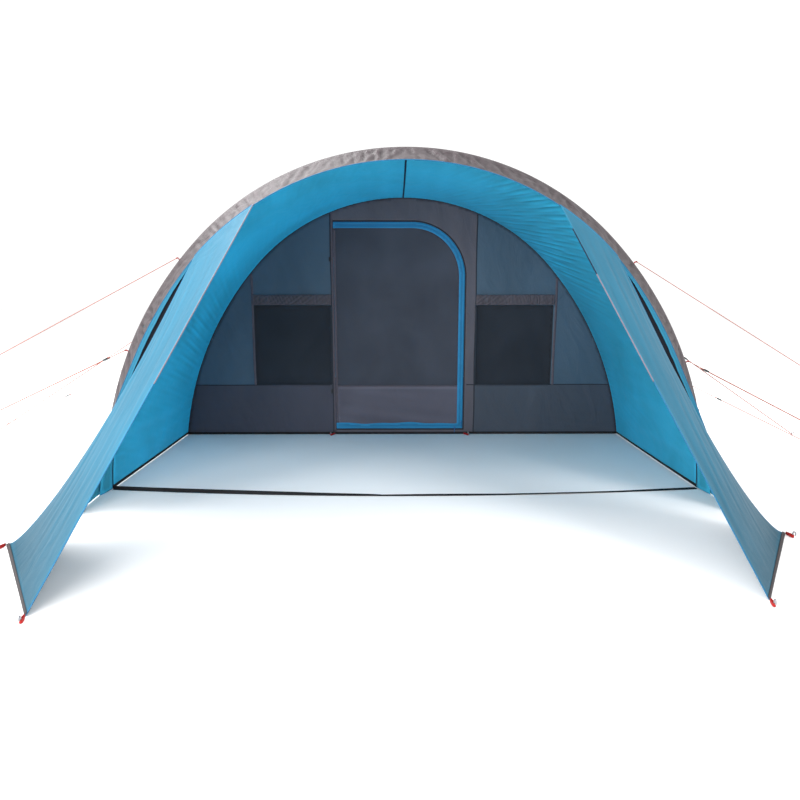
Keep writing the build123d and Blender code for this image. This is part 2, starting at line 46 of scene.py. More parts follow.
# A tunnel tent with an open porch. Metres, +Z up, the porch opens towards -Y.
# Cloth is drawn about 1 to 2 mm thick, where real cloth is 0.1 mm, so that it has two faces and an edge.

# ---- Places taken from the frame ----
POLE_RADIUS = 0.00635
FRONT_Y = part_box("pole_front")[0].y + POLE_RADIUS
WALL_POLE_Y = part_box("pole_middle")[0].y + POLE_RADIUS
REAR_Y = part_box("pole_rear")[0].y + POLE_RADIUS
TAIL_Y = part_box("tail_fly")[1].y
WALL_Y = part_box("front_wall")[0].y
LEAF_LOW, LEAF_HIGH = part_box("door_leaf")
WINDOW_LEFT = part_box("window_mesh_left")
WINDOW_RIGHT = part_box("window_mesh_right")

# ---- Thicknesses, clearances and the poles' sleeves ----
CLOTH = 0.0022
PANEL = 0.0016
NET = 0.0008
NET_Y = WALL_Y + 0.0030
SLEEVE_RADIUS = 0.018
POLE_OUT = 0.020
HEM_LIFT = 0.002
EDGE_GAP = 0.004
FLOOR_CLEAR = 0.0022
CREST_LIMIT = 0.009

# ---- Hood: how far it reaches, how it flares near the ground, and how it folds over the sleeve ----
HOOD_DEPTH = 0.215
HOOD_FLARE_OUT = 0.065
HOOD_FLARE_FORWARD = 0.245
HOOD_FLARE_HEIGHT = 0.9
TRIM_WIDTH = 0.027
TRIM_TAPER = 0.17
# Width of the dark strips painted as the shade in the slits between the hood and the wings.
SLIT_SHADE_WIDTH = 0.062
HOOD_OVER = 0.0398
HOOD_CURL = ((0.020, 0.0180), (0.032, 0.0125), (0.038, 0.0060))

# ---- Wings: angles on the arch in degrees, pegs' X and Y from the front pole, and bow, by side ----
WING_INNER_ANGLE = 31.5
WING_OUTER_ANGLE = 47.0
WING_INNER_STAKE = {-1: (1.492, -1.524), 1: (1.453, -1.423)}
WING_OUTER_STAKE = {-1: (1.983, -0.857), 1: (1.948, -0.742)}
WING_BOW = {-1: 0.25, 1: 0.26}
WING_BOW_RISE = {-1: 1.05, 1: 1.3}
WING_BOW_FALL = 0.5
# Rows of a wing's 161 along which its inner edge has the dark line painted as the shadow in the gap there,
# and the pale piping.
WING_SHADOW_LINE = slice(13, 37)
WING_PIPING = {-1: slice(0, 85), 1: slice(36, 85)}

# ---- Cabin wall, door and windows ----
DOOR_CORNER = 0.449
DOOR_BAND = 0.05
DOOR_STILE = 0.018
DOOR_MESH_LOW = 0.435
DOOR_GAP = 0.001
WALL_BAND_Z = 0.440
WALL_SEAMS = (-0.608, 0.620)
WALL_SIDE_SEAMS = (-1.279, 1.304)
BAND_REACH = 1.86
HEM_REACH = 1.885
WINDOW_LAP = 0.018

# ---- Lines, strap, loops and stitches ----
ROPE = 0.004
ROPE_SPACING = 0.015
ROPE_END_HEIGHT = 0.014
ROPE_TURN = 0.45 * ROPE_SPACING
KNOT_OUT = 0.036
KNOT_LENGTH = 0.010
KNOT_RADIUS = 0.0028
STRAP_WIDTH = 0.025
STRAP_BOW = 0.12
STRAP_END_GAP = 0.012
STRAP_SETBACK = 0.014
LOOP_BEND = 0.0058
LOOP_Z = 0.0085
TAB_BEND = 0.0035
STITCH_PITCH = 0.006
STITCH_SHARE = 0.62
STITCH_LIFT = 0.0012
THREAD_RADIUS = 0.0005


# ---- Camera, lights and floor ----
LENS = 27.0
SENSOR = 36.0
CAMERA_PLACE = (-0.063, FRONT_Y - 3.669, 1.228)
CAMERA_DOWN = 10.12
CAMERA_TURN = -0.42
SKY_STRENGTH = 1.12
FLOOR_SIZE = 90.0
FLOOR_Z = -0.002
FLOOR_TONE = 0.90
# Name, place, the point it faces, width and height, power.
LIGHTS = [
    ("key", (5.5, -6.0, 7.5), (-0.3, 0.0, 0.9), (4.0, 4.0), 340.0),
    ("fill", (-7.0, -3.2, 4.0), (0.8, -1.0, 0.8), (5.0, 3.0), 200.0),
    ("sky", (-4.1, 1.9, 7.6), (-0.6, 0.6, 1.2), (6.0, 6.0), 930.0),
    ("front", (-2.5, -6.0, 2.0), (1.1, 0.5, 1.0), (3.5, 2.5), 200.0),
]


def make_camera():
    data = bpy.data.cameras.new("camera")
    data.lens = LENS
    data.sensor_width = SENSOR
    camera = bpy.data.objects.new("camera", data)
    camera.location = CAMERA_PLACE
    camera.rotation_euler = (math.radians(90.0 - CAMERA_DOWN), 0.0, math.radians(CAMERA_TURN))
    scene.collection.objects.link(camera)
    scene.camera = camera


def area_light(name, place, target, size, power):
    data = bpy.data.lights.new(name, "AREA")
    data.shape = "RECTANGLE"
    data.size, data.size_y = size
    data.energy = power
    lamp = bpy.data.objects.new(name, data)
    lamp.location = place
    lamp.rotation_euler = (Vector(target) - Vector(place)).to_track_quat("-Z", "Y").to_euler()
    scene.collection.objects.link(lamp)


def make_studio():
    world = bpy.data.worlds.new("studio")
    world.use_nodes = True
    background = world.node_tree.nodes["Background"]
    background.inputs["Color"].default_value = (1.0, 1.0, 1.0, 1)
    background.inputs["Strength"].default_value = SKY_STRENGTH
    scene.world = world
    scene.view_settings.view_transform = "Standard"
    for light in LIGHTS:
        area_light(*light)
    bpy.ops.mesh.primitive_plane_add(size=FLOOR_SIZE, location=(0, 0, FLOOR_Z))
    floor = bpy.context.object
    floor.name = "floor"
    material = bpy.data.materials.new("floor")
    material.use_nodes = True
    shader = material.node_tree.nodes["Principled BSDF"]
    shader.inputs["Base Color"].default_value = (FLOOR_TONE, FLOOR_TONE, FLOOR_TONE, 1)
    shader.inputs["Roughness"].default_value = 0.9
    floor.data.materials.append(material)


# ---- Materials ----
THREAD_PITCH = 0.0016
NET_PITCH = 0.0021
TONE_VARIETY = 0.12


def srgb(red, green, blue):
    """Linear colour of an sRGB colour given in 0 to 255."""
    values = []
    for value in (red, green, blue):
        share = value / 255.0
        values.append(share / 12.92 if share <= 0.04045 else ((share + 0.055) / 1.055) ** 2.4)
    return values


class Nodes:
    """A short way to add nodes to a material and wire them."""

    def __init__(self, name):
        self.material = bpy.data.materials.new(name)
        self.material.use_nodes = True
        self.tree = self.material.node_tree
        self.shader = self.tree.nodes["Principled BSDF"]
        self.output = self.tree.nodes["Material Output"]
        self.place = self.add("ShaderNodeTexCoord").outputs["Object"]

    def put(self, socket, value):
        """Links a value that comes out of a node, or sets a constant."""
        if isinstance(value, bpy.types.NodeSocket):
            self.tree.links.new(value, socket)
        else:
            socket.default_value = value

    def add(self, kind, inputs=None, **settings):
        node = self.tree.nodes.new(kind)
        for key, value in settings.items():
            setattr(node, key, value)
        for key, value in (inputs or {}).items():
            self.put(node.inputs[key], value)
        return node

    def math(self, operation, first, second=0.0, third=0.0):
        return self.add("ShaderNodeMath", {0: first, 1: second, 2: third}, operation=operation).outputs[0]

    def noise(self, scale, detail=3.0, distortion=0.0, stretch=(1, 1, 1), rough=0.5):
        mapped = self.add("ShaderNodeMapping", {"Vector": self.place, "Scale": stretch}).outputs[0]
        inputs = {"Vector": mapped, "Scale": scale, "Detail": detail, "Distortion": distortion}
        inputs["Roughness"] = rough
        return self.add("ShaderNodeTexNoise", inputs).outputs["Fac"]

    def remap(self, value, low, high, to_low=0.0, to_high=1.0):
        """A value that runs from to_low to to_high as another runs from low to high."""
        limits = {"Value": value, "From Min": low, "From Max": high, "To Min": to_low, "To Max": to_high}
        return self.add("ShaderNodeMapRange", limits).outputs[0]

    def ramp(self, value, low, high):
        """A colour that runs from low to high as a 0 to 1 value rises."""
        node = self.add("ShaderNodeValToRGB", {"Fac": value})
        node.color_ramp.elements[0].position = 0.3
        node.color_ramp.elements[1].position = 0.7
        node.color_ramp.elements[0].color = (*low, 1)
        node.color_ramp.elements[1].color = (*high, 1)
        return node.outputs["Color"]

    def mix(self, share, first, second, blend="MIX"):
        inputs = {0: share, 6: first, 7: second}
        return self.add("ShaderNodeMix", inputs, data_type="RGBA", blend_type=blend).outputs[2]

    def weave(self, pitch):
        """Crossed threads at a pitch in metres, 0 in the gaps and 1 on the threads."""
        parts = self.add("ShaderNodeSeparateXYZ", {"Vector": self.place}).outputs
        waves = []
        for axis in (parts["X"], parts["Y"], parts["Z"]):
            turn = self.math("MULTIPLY", axis, 2 * math.pi / pitch)
            waves.append(self.math("SINE", turn))
        crossed = self.math("MULTIPLY", self.math("ADD", waves[0], waves[1]), waves[2])
        return self.math("MULTIPLY_ADD", crossed, 0.25, 0.5)

    def shades(self, value, base, low, high):
        """A ramp between a darker and a lighter shade of one colour."""
        return self.ramp(value, [c * low for c in base], [min(1.0, c * high) for c in base])

    def translucent(self, share, tone, normal):
        """Lets a share of the light through to the other side."""
        through = self.add("ShaderNodeBsdfTranslucent", {"Color": tone, "Normal": normal})
        inputs = {0: share, 1: self.shader.outputs[0], 2: through.outputs[0]}
        blend = self.add("ShaderNodeMixShader", inputs)
        self.tree.links.new(blend.outputs[0], self.output.inputs["Surface"])

    def bump(self, height, distance, strength, base=None):
        inputs = {"Height": height, "Distance": distance, "Strength": strength}
        if base is not None:
            inputs["Normal"] = base
        return self.add("ShaderNodeBump", inputs).outputs["Normal"]

    def cloth_bumps(self, crease, small, thread, crease_strength, small_strength):
        """Large creases, small ones on top, and the weave on top of both."""
        normal = self.bump(crease, 0.022, crease_strength)
        normal = self.bump(small, 0.0035, small_strength, normal)
        return self.bump(thread, 0.00025, 0.25, normal)

    def set(self, **values):
        for key, value in values.items():
            self.put(self.shader.inputs[key.replace("_", " ")], value)


def cloth_material(name, colour, glow=0.0, roughness=0.55, creases=1.0, stretch=(1, 1, 1), foot=1.0):
    """Coated polyester: fine plain weave, soft creases, uneven tone, and light through it.
    Ridges are painted lighter and hollows darker, as painted light and shade on the creases. Near the ground
    the tone is painted darker, down to the share foot, as painted shade."""
    n = Nodes(name)
    base = srgb(*colour)
    tone = n.shades(n.noise(1.7, 4.0, 0.6, stretch), base, 1 - TONE_VARIETY, 1 + TONE_VARIETY)
    thread = n.weave(THREAD_PITCH)
    tone = n.mix(0.10, tone, n.shades(thread, base, 0.72, 1.2))
    # Painted shade: from 0.60 m down to the ground the tone is darkened towards the share foot.
    if foot < 1:
        height = n.add("ShaderNodeSeparateXYZ", {"Vector": n.place}).outputs["Z"]
        tone = n.mix(1.0, tone, n.remap(height, 0.05, 0.60, foot), "MULTIPLY")
    # Painted light and shade: ridges are brightened and hollows darkened by their curvature.
    ridge = n.add("ShaderNodeNewGeometry").outputs["Pointiness"]
    tone = n.mix(1.0, tone, n.remap(ridge, 0.475, 0.525, 0.72, 1.28), "MULTIPLY")
    crease = n.noise(5.5, 5.0, 1.6, stretch, 0.42)
    small = n.noise(26.0, 3.0, 0.8, (1, 1, 1), 0.45)
    normal = n.cloth_bumps(crease, small, thread, 0.34 * creases, 0.22 * creases)
    rough = n.remap(small, 0.0, 1.0, roughness - 0.07, roughness + 0.07)
    n.set(Base_Color=tone, Roughness=rough, Normal=normal, Specular_IOR_Level=0.25)
    n.set(Sheen_Weight=0.06, Sheen_Roughness=0.4)
    if glow:
        n.translucent(glow, tone, normal)
    return n.material


def wall_material():
    """The cabin wall: slate above, gray below the band at knee height."""
    n = Nodes("wall_cloth")
    parts = n.add("ShaderNodeSeparateXYZ", {"Vector": n.place}).outputs

    def above(value, edge):
        return n.remap(value, edge - 0.002, edge + 0.002)

    slate, gray = (*srgb(74, 96, 114), 1), (*srgb(96, 91, 99), 1)
    knee_left, knee_right = (*srgb(72, 71, 84), 1), (*srgb(72, 78, 90), 1)
    left_of_right_seam = n.math("SUBTRACT", 1.0, above(parts["X"], WALL_SEAMS[1]))
    middle = n.math("MULTIPLY", above(parts["X"], WALL_SEAMS[0]), left_of_right_seam)
    upper = n.mix(middle, slate, gray)
    lower = n.mix(above(parts["X"], 0.0), knee_left, knee_right)
    share = n.math("MAXIMUM", above(parts["Z"], WALL_BAND_Z), middle)
    tone = n.mix(share, lower, upper)
    patches = n.ramp(n.noise(1.5, 4.0, 0.8, (1, 1, 0.6)), (0.84, 0.84, 0.84), (1.12, 1.12, 1.12))
    tone = n.mix(1.0, tone, patches, "MULTIPLY")
    thread = n.weave(THREAD_PITCH)
    tone = n.mix(0.12, tone, n.ramp(thread, srgb(40, 46, 54), srgb(96, 106, 116)))
    crease = n.noise(4.5, 5.0, 1.8, (1, 1, 0.55), 0.45)
    normal = n.cloth_bumps(crease, n.noise(24.0, 3.0, 1.0), thread, 0.40, 0.22)
    n.set(Base_Color=tone, Roughness=0.62, Normal=normal, Specular_IOR_Level=0.3, Sheen_Weight=0.1)
    n.translucent(0.12, tone, normal)
    return n.material


def mesh_material(name, thread_colour, cabin_shade_colour):
    """Fine insect mesh in front of a dark cabin: threads over gaps painted with the shade of the cabin
    behind.
    """
    n = Nodes(name)
    thread = n.weave(NET_PITCH)
    tone = n.ramp(thread, srgb(*cabin_shade_colour), srgb(*thread_colour))
    soft = n.ramp(n.noise(2.2, 3.0, 0.5), (0.86, 0.86, 0.86), (1.14, 1.14, 1.14))
    tone = n.mix(1.0, tone, soft, "MULTIPLY")
    normal = n.bump(n.noise(3.5, 3.0, 1.0), 0.012, 0.25)
    normal = n.bump(thread, 0.0004, 0.5, normal)
    n.set(Base_Color=tone, Roughness=0.8, Normal=normal, Specular_IOR_Level=0.15)
    return n.material


def webbing_material(name, colour, roughness=0.7, rib=0.0022):
    """Flat woven tape: close ribs with a darker cast between them."""
    n = Nodes(name)
    base = srgb(*colour)
    rib_wave = n.weave(rib)
    tone = n.shades(rib_wave, base, 0.6, 1.25)
    tone = n.mix(0.35, tone, n.shades(n.noise(30.0, 3.0), base, 0.75, 1.2))
    normal = n.bump(rib_wave, 0.0006, 0.6)
    n.set(Base_Color=tone, Roughness=roughness, Normal=normal, Specular_IOR_Level=0.25)
    return n.material


def rope_material():
    """Braided guy line: reddish brown with lighter tracer flecks."""
    n = Nodes("rope_braid")
    flecks = n.noise(420.0, 2.0, 0.0)
    tone = n.ramp(flecks, srgb(112, 44, 38), srgb(196, 112, 92))
    n.set(Base_Color=tone, Roughness=0.75, Normal=n.bump(flecks, 0.0006, 0.7), Specular_IOR_Level=0.2)
    return n.material


def hard_material(name, colour, roughness, metal=0.0, grain=60.0, coat=0.0):
    """Moulded plastic, fibreglass or metal with a fine surface grain and small tone changes."""
    n = Nodes(name)
    base = srgb(*colour)
    grains = n.noise(grain, 4.0, 0.2)
    tone = n.shades(grains, base, 0.85, 1.15)
    worn = n.remap(grains, 0.0, 1.0, roughness * 0.8, roughness * 1.25)
    n.set(Base_Color=tone, Roughness=worn, Metallic=metal, Coat_Weight=coat)
    n.set(Normal=n.bump(grains, 0.0004, 0.2))
    return n.material


# BLUE and BLUE_WING stand for one blue cloth in two shades, as painted light and shade: BLUE is painted
# lighter for the shaded inside of the porch, BLUE_WING darker for the lit wings and hood trims.
BLUE = cloth_material("blue_cloth", (66, 180, 208), 0.42, creases=0.8)
BLUE_WING = cloth_material("blue_wing_cloth", (38, 116, 145), 0.22, creases=0.6,
                           stretch=(1.4, 1.4, 0.45), foot=0.52)
BLUE_DARK = cloth_material("blue_flap_cloth", (34, 116, 158), creases=0.7)
GRAY = cloth_material("gray_cloth", (57, 47, 51), 0.03, creases=1.5, stretch=(1.2, 0.8, 1.2))
BLIND = cloth_material("blind_cloth", (75, 69, 75), roughness=0.6, creases=2.0, stretch=(2.2, 1, 0.6))
WALL = wall_material()
# The second colour of each mesh is painted shade: the dark cabin seen through its gaps.
DOOR_MESH = mesh_material("door_mesh_net", (78, 80, 90), (55, 58, 66))
WINDOW_MESH = mesh_material("window_mesh_net", (56, 60, 68), (29, 32, 38))
GROUND = cloth_material("groundsheet_pe", (78, 80, 84), roughness=0.4)
BLACK_TAPE = webbing_material("black_webbing", (26, 25, 27))
DARK_TAPE = webbing_material("dark_hem_tape", (60, 56, 58))
GRAY_TAPE = webbing_material("gray_seam_tape", (96, 96, 104))
PALE_TAPE = webbing_material("pale_piping", (118, 114, 128), roughness=0.6)
# Painted shade: near-black cloth for the strips that stand for the shadow in the slits between the hood and
# the wings.
SHADE = cloth_material("slit_shade_cloth", (26, 28, 36), roughness=0.8, creases=0.5)
RED_TAPE = webbing_material("red_webbing", (170, 34, 30))
BLUE_SEAM = webbing_material("blue_seam", (36, 104, 144), rib=0.003)
NAVY_TAPE = webbing_material("navy_seam_tape", (14, 34, 58))
SEAM_DARK = webbing_material("dark_seam", (44, 48, 56))
BROWN_TAPE = webbing_material("brown_gray_tape", (92, 84, 92))
ZIP_TAPE = webbing_material("zip_tape", (46, 46, 52), rib=THREAD_PITCH)
SLEEVE_BLACK = cloth_material("sleeve_cloth", (34, 34, 38), roughness=0.6, creases=0.6)
DOOR_CLOTH = cloth_material("door_cloth", (88, 86, 98), 0.04, roughness=0.6)
ROPE_BRAID = rope_material()
STEEL = hard_material("zinc_steel", (150, 150, 154), 0.38, metal=1.0)
FIBREGLASS = hard_material("fibreglass", (40, 40, 44), 0.32, coat=0.3, grain=90.0)
BLACK_PLASTIC = hard_material("black_plastic", (30, 30, 32), 0.5)
BLUE_PAINT = hard_material("blue_paint", (30, 92, 150), 0.4, coat=0.2)
ELASTIC = webbing_material("elastic_braid", (34, 34, 36))


# ---- Mesh helpers ----
def link(name, mesh, materials, body="tent", smooth=True):
    piece = bpy.data.objects.new(name, mesh)
    for material in materials:
        mesh.materials.append(material)
    if smooth:
        mesh.shade_smooth()
    scene.collection.objects.link(piece)
    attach(piece, body)
    return piece


def stand_in(piece, node):
    """The piece takes a plain CAD node's place."""
    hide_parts(node)


def steps_between(start, end, count):
    """Points at even steps on a straight line."""
    start, end = np.array(start, float), np.array(end, float)
    return start + (end - start) * np.linspace(0, 1, count)[:, None]


def grid_normals(points):
    along = np.gradient(points, axis=0)
    across = np.gradient(points, axis=1)
    normals = np.cross(along, across)
    length = np.linalg.norm(normals, axis=2, keepdims=True)
    return normals / np.maximum(length, 1e-9)


def shell(name, points, materials, thickness=CLOTH, body="tent", flip=False):
    """A closed sheet over a grid, with the first material where the normals point, the second behind."""
    if flip:
        points = points[::-1]
    rows, columns = points.shape[:2]
    normals = grid_normals(points) * thickness / 2
    above = (points + normals).reshape(-1, 3)
    below = (points - normals).reshape(-1, 3)
    vertices = np.concatenate([above, below])
    index = np.arange(rows * columns).reshape(rows, columns)
    a, b, c, d = index[:-1, :-1], index[1:, :-1], index[1:, 1:], index[:-1, 1:]
    top = np.stack([a, b, c, d], -1).reshape(-1, 4)
    low = top[:, ::-1] + rows * columns
    rim = np.concatenate([index[:, 0], index[-1, 1:], index[-2::-1, -1], index[0, -2:0:-1]])
    after = np.roll(rim, -1)
    side = np.stack([after, rim, rim + rows * columns, after + rows * columns], -1)
    faces = np.concatenate([top, low, side])
    mesh = bpy.data.meshes.new(name)
    mesh.from_pydata(vertices.tolist(), [], faces.tolist())
    piece = link(name, mesh, materials, body)
    if len(materials) > 1:
        slots = np.zeros(len(faces), int)
        slots[len(top):] = 1
        mesh.polygons.foreach_set("material_index", slots)
    mark_rim(mesh, len(top) + len(low))
    return piece


def mark_rim(mesh, first):
    """The cut edge of a sheet stays sharp."""
    flags = np.ones(len(mesh.polygons), bool)
    flags[first:] = False
    mesh.polygons.foreach_set("use_smooth", flags)
    mesh.update()


def tape(name, path, normals, width, thickness, material, body="tent", extra=None):
    """A strip with rounded edges along a path, flat against the surface with the given normals."""
    path, normals = np.array(path, float), np.array(normals, float)
    if normals.ndim == 1:
        normals = np.repeat(normals[None], len(path), 0)
    tangent = np.gradient(path, axis=0)
    tangent /= np.maximum(np.linalg.norm(tangent, axis=1, keepdims=True), 1e-9)
    side = np.cross(tangent, normals)
    side /= np.maximum(np.linalg.norm(side, axis=1, keepdims=True), 1e-9)
    up = np.cross(side, tangent)
    half, edge = width / 2, min(width, thickness) / 2
    profile = [(-half, 0), (-half + edge, edge), (0, edge), (half - edge, edge),
               (half, 0), (half - edge, -edge), (0, -edge), (-half + edge, -edge)]
    rings = [path + side * x + up * z for x, z in profile]
    vertices = np.stack(rings, 1).reshape(-1, 3)
    count, ring = len(path), len(profile)
    faces = []
    for i in range(count - 1):
        for j in range(ring):
            k = (j + 1) % ring
            faces.append((i * ring + j, i * ring + k, (i + 1) * ring + k, (i + 1) * ring + j))
    faces.append(tuple(range(ring))[::-1])
    faces.append(tuple((count - 1) * ring + j for j in range(ring)))
    if extra is not None:
        extra.append((vertices, faces))
        return None
    mesh = bpy.data.meshes.new(name)
    mesh.from_pydata(vertices.tolist(), [], faces)
    mesh.validate()
    return link(name, mesh, [material], body)


def joined(name, parts, material):
    """Several strips as one piece."""
    vertices, faces, base = [], [], 0
    for points, cells in parts:
        vertices += points.tolist()
        faces += [tuple(i + base for i in cell) for cell in cells]
        base += len(points)
    mesh = bpy.data.meshes.new(name)
    mesh.from_pydata(vertices, [], faces)
    return link(name, mesh, [material])


def spaced(loop, gap):
    """A closed outline with points no further apart than a gap."""
    points = []
    for (x, z), (u, w) in zip(loop, loop[1:] + loop[:1]):
        steps = max(1, math.ceil(math.hypot(u - x, w - z) / gap))
        points += [(x + (u - x) * i / steps, z + (w - z) * i / steps) for i in range(steps)]
    return points


def inside(loop, points):
    """True for the points inside a closed outline."""
    loop = np.asarray(loop)
    after = np.roll(loop, -1, 0)
    x, z = points[:, 0, None], points[:, 1, None]
    crosses = (loop[:, 1] > z) != (after[:, 1] > z)
    rise = after[:, 1] - loop[:, 1]
    at = loop[:, 0] + (z - loop[:, 1]) / np.where(rise == 0, 1.0, rise) * (after[:, 0] - loop[:, 0])
    return (crosses & (x < at)).sum(1) % 2 == 1


def gap_to(loop, points):
    """Distance from points to a closed outline."""
    loop = np.asarray(loop)
    run = np.roll(loop, -1, 0) - loop
    offset = points[:, None] - loop
    share = np.clip((offset * run).sum(2) / np.maximum((run**2).sum(1), 1e-12), 0, 1)
    return np.linalg.norm(offset - run * share[..., None], axis=2).min(1)


def flat_panel(name, edge, holes, spacing, depth, y, material, thickness=PANEL, body="tent"):
    """A panel in a plane of constant Y with holes. depth(x, z) is how far it stands out towards -Y."""
    loops = [spaced(loop, spacing) for loop in [edge] + holes]
    low, high = np.min(np.array(edge), 0), np.max(np.array(edge), 0)
    x, z = np.meshgrid(np.arange(low[0], high[0], spacing), np.arange(low[1], high[1], spacing * 0.87))
    x[::2] += spacing / 2
    fill = np.stack([x.ravel(), z.ravel()], 1)
    keep = inside(loops[0], fill)
    for loop in loops:
        keep &= gap_to(loop, fill) > spacing * 0.45
    for hole in loops[1:]:
        keep &= ~inside(hole, fill)
    points, edges = [], []
    for loop in loops:
        base, count = len(points), len(loop)
        points += [Vector(p) for p in loop]
        edges += [(base + i, base + (i + 1) % count) for i in range(count)]
    points += [Vector(p) for p in fill[keep]]
    made, _, faces, *_ = delaunay_2d_cdt(points, edges, [], 0, 1e-6)
    flat = np.array([(p.x, p.y) for p in made])
    faces = np.array([tuple(face) for face in faces])
    a, b, c = flat[faces[:, 0]], flat[faces[:, 1]], flat[faces[:, 2]]
    turn = (b[:, 0] - a[:, 0]) * (c[:, 1] - a[:, 1]) - (b[:, 1] - a[:, 1]) * (c[:, 0] - a[:, 0])
    faces = np.where(turn[:, None] > 0, faces, faces[:, ::-1])
    centre = (a + b + c) / 3
    keep = inside(loops[0], centre) & (np.abs(turn) > 1e-9)
    for hole in loops[1:]:
        keep &= ~inside(hole, centre)
    kept = [tuple(int(i) for i in face) for face in faces[keep]]
    out = depth(flat[:, 0], flat[:, 1])
    front = np.stack([flat[:, 0], y - out - thickness / 2, flat[:, 1]], 1)
    back = front + np.array([0, thickness, 0])
    count = len(flat)
    sides = {(face[i], face[(i + 1) % 3]) for face in kept for i in range(3)}
    rim = [(b, a, a + count, b + count) for a, b in sorted(sides) if (b, a) not in sides]
    faces = kept + [tuple(i + count for i in face[::-1]) for face in kept] + rim
    mesh = bpy.data.meshes.new(name)
    mesh.from_pydata(np.concatenate([front, back]).tolist(), [], faces)
    piece = link(name, mesh, [material], body)
    mark_rim(mesh, 2 * len(kept))
    return piece


def clumps(node):
    """The separate solids of a CAD node: each one's points, in the frame."""
    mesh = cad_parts[node].data
    points = np.array([v.co for v in mesh.vertices])
    _, same = np.unique(np.round(points, 5), axis=0, return_inverse=True)
    group = np.arange(same.max() + 1)
    pairs = same[np.array([e.vertices for e in mesh.edges])]
    while True:
        low = np.minimum(group[pairs[:, 0]], group[pairs[:, 1]])
        before = group.copy()
        np.minimum.at(group, pairs[:, 0], low)
        np.minimum.at(group, pairs[:, 1], low)
        group = group[group]
        if (group == before).all():
            break
    owner = group[same]
    return [points[owner == g] for g in np.unique(owner)]


def middle_of(points):
    return (points.min(0) + points.max(0)) / 2


def stitches(name, path, normals, material, body="tent"):
    """A row of short raised thread dashes along a path."""
    path, normals = np.array(path, float), np.array(normals, float)
    if normals.ndim == 1:
        normals = np.repeat(normals[None], len(path), 0)
    run = np.concatenate([[0], np.cumsum(np.linalg.norm(np.diff(path, axis=0), axis=1))])
    starts = np.arange(STITCH_PITCH / 2, run[-1] - STITCH_PITCH, STITCH_PITCH)
    ends = starts + STITCH_PITCH * STITCH_SHARE

    def at(stops, values):
        return np.stack([np.interp(stops, run, values[:, i]) for i in range(3)], 1)

    up = at(starts, normals)
    up /= np.linalg.norm(up, axis=1, keepdims=True)
    first, last = at(starts, path) + up * STITCH_LIFT, at(ends, path) + up * STITCH_LIFT
    side = np.cross(last - first, up)
    side = side / np.linalg.norm(side, axis=1, keepdims=True) * THREAD_RADIUS
    rise = up * THREAD_RADIUS
    around = (-side - rise, side - rise, side + rise, -side + rise)
    corners = np.stack([end + corner for end in (first, last) for corner in around], 1)
    cells = np.array([(0, 3, 2, 1), (4, 5, 6, 7), (0, 1, 5, 4), (1, 2, 6, 5), (2, 3, 7, 6), (3, 0, 4, 7)])
    faces = (cells[None] + 8 * np.arange(len(starts))[:, None, None]).reshape(-1, 4)
    mesh = bpy.data.meshes.new(name)
    mesh.from_pydata(corners.reshape(-1, 3).tolist(), [], faces.tolist())
    return link(name, mesh, [material], body, smooth=False)


def folds(across, along, spacing, seed):
    """Soft uneven pleats: they run along one coordinate and repeat over the other. About -1 to 1."""
    dice = np.random.default_rng(seed)
    phase = dice.uniform(0, 2 * math.pi, 8)
    wander = 0.5 * np.sin(along / (2.3 * spacing) + phase[0])
    wander = wander + 0.35 * np.sin(along / (1.1 * spacing) + phase[1])
    wander = wander + 0.4 * np.sin(across / (1.9 * spacing) + phase[2])
    wave = np.sin(2 * math.pi * across / spacing + 1.6 * wander + phase[3])
    wave = wave + 0.5 * np.sin(2 * math.pi * across / (0.61 * spacing) - 1.9 * wander + phase[4])
    drift = 0.8 * np.sin(across / spacing + phase[5])
    patch = 0.5 + 0.5 * np.sin(along / (1.7 * spacing) + drift + phase[6])
    patch = patch * (0.55 + 0.45 * np.sin(across / (2.6 * spacing) + phase[7]))
    return wave * (0.25 + 0.75 * patch) / 1.5


# ---- Arches ----
class Arch:
    """A pole arch: a crown arc and a tangent arc down each side. Turns are in degrees from straight up."""

    def __init__(self, y, height, crown_radius, crown_angle, side_radius):
        self.y = y
        self.crown_radius = crown_radius
        self.crown_angle = crown_angle
        self.side_radius = side_radius
        self.crown_z = height - crown_radius
        spread = crown_radius - side_radius
        self.side_x = spread * math.sin(math.radians(crown_angle))
        self.side_z = self.crown_z + spread * math.cos(math.radians(crown_angle))

    def foot_angle(self, out=0.0, z=0.0):
        return math.degrees(math.acos((z - self.side_z) / (self.side_radius + out)))

    def at(self, angle, out=0.0):
        """Points at angles, as an array with a last axis of 3."""
        angle = np.asarray(angle, float)
        turn = np.radians(np.abs(angle))
        crown = np.abs(angle) <= self.crown_angle
        radius = np.where(crown, self.crown_radius, self.side_radius) + out
        x = np.where(crown, 0.0, self.side_x) + radius * np.sin(turn)
        z = np.where(crown, self.crown_z, self.side_z) + radius * np.cos(turn)
        return np.stack([np.where(angle >= 0, x, -x), np.full_like(x, self.y), z], -1)

    @staticmethod
    def out_at(angle):
        """Directions straight out from an arch, at angles."""
        turn = np.radians(np.asarray(angle, float))
        return np.stack([np.sin(turn), np.zeros_like(turn), np.cos(turn)], -1)

    def angle_of(self, share):
        """Angle for a share from -2 to 2: the crown arc ends at 1 and the side arc at 2."""
        share = np.asarray(share, float)
        size = np.abs(share)
        foot = self.foot_angle()
        low = size * self.crown_angle
        high = self.crown_angle + (size - 1) * (foot - self.crown_angle)
        return np.where(size <= 1, low, high) * np.where(share >= 0, 1, -1)


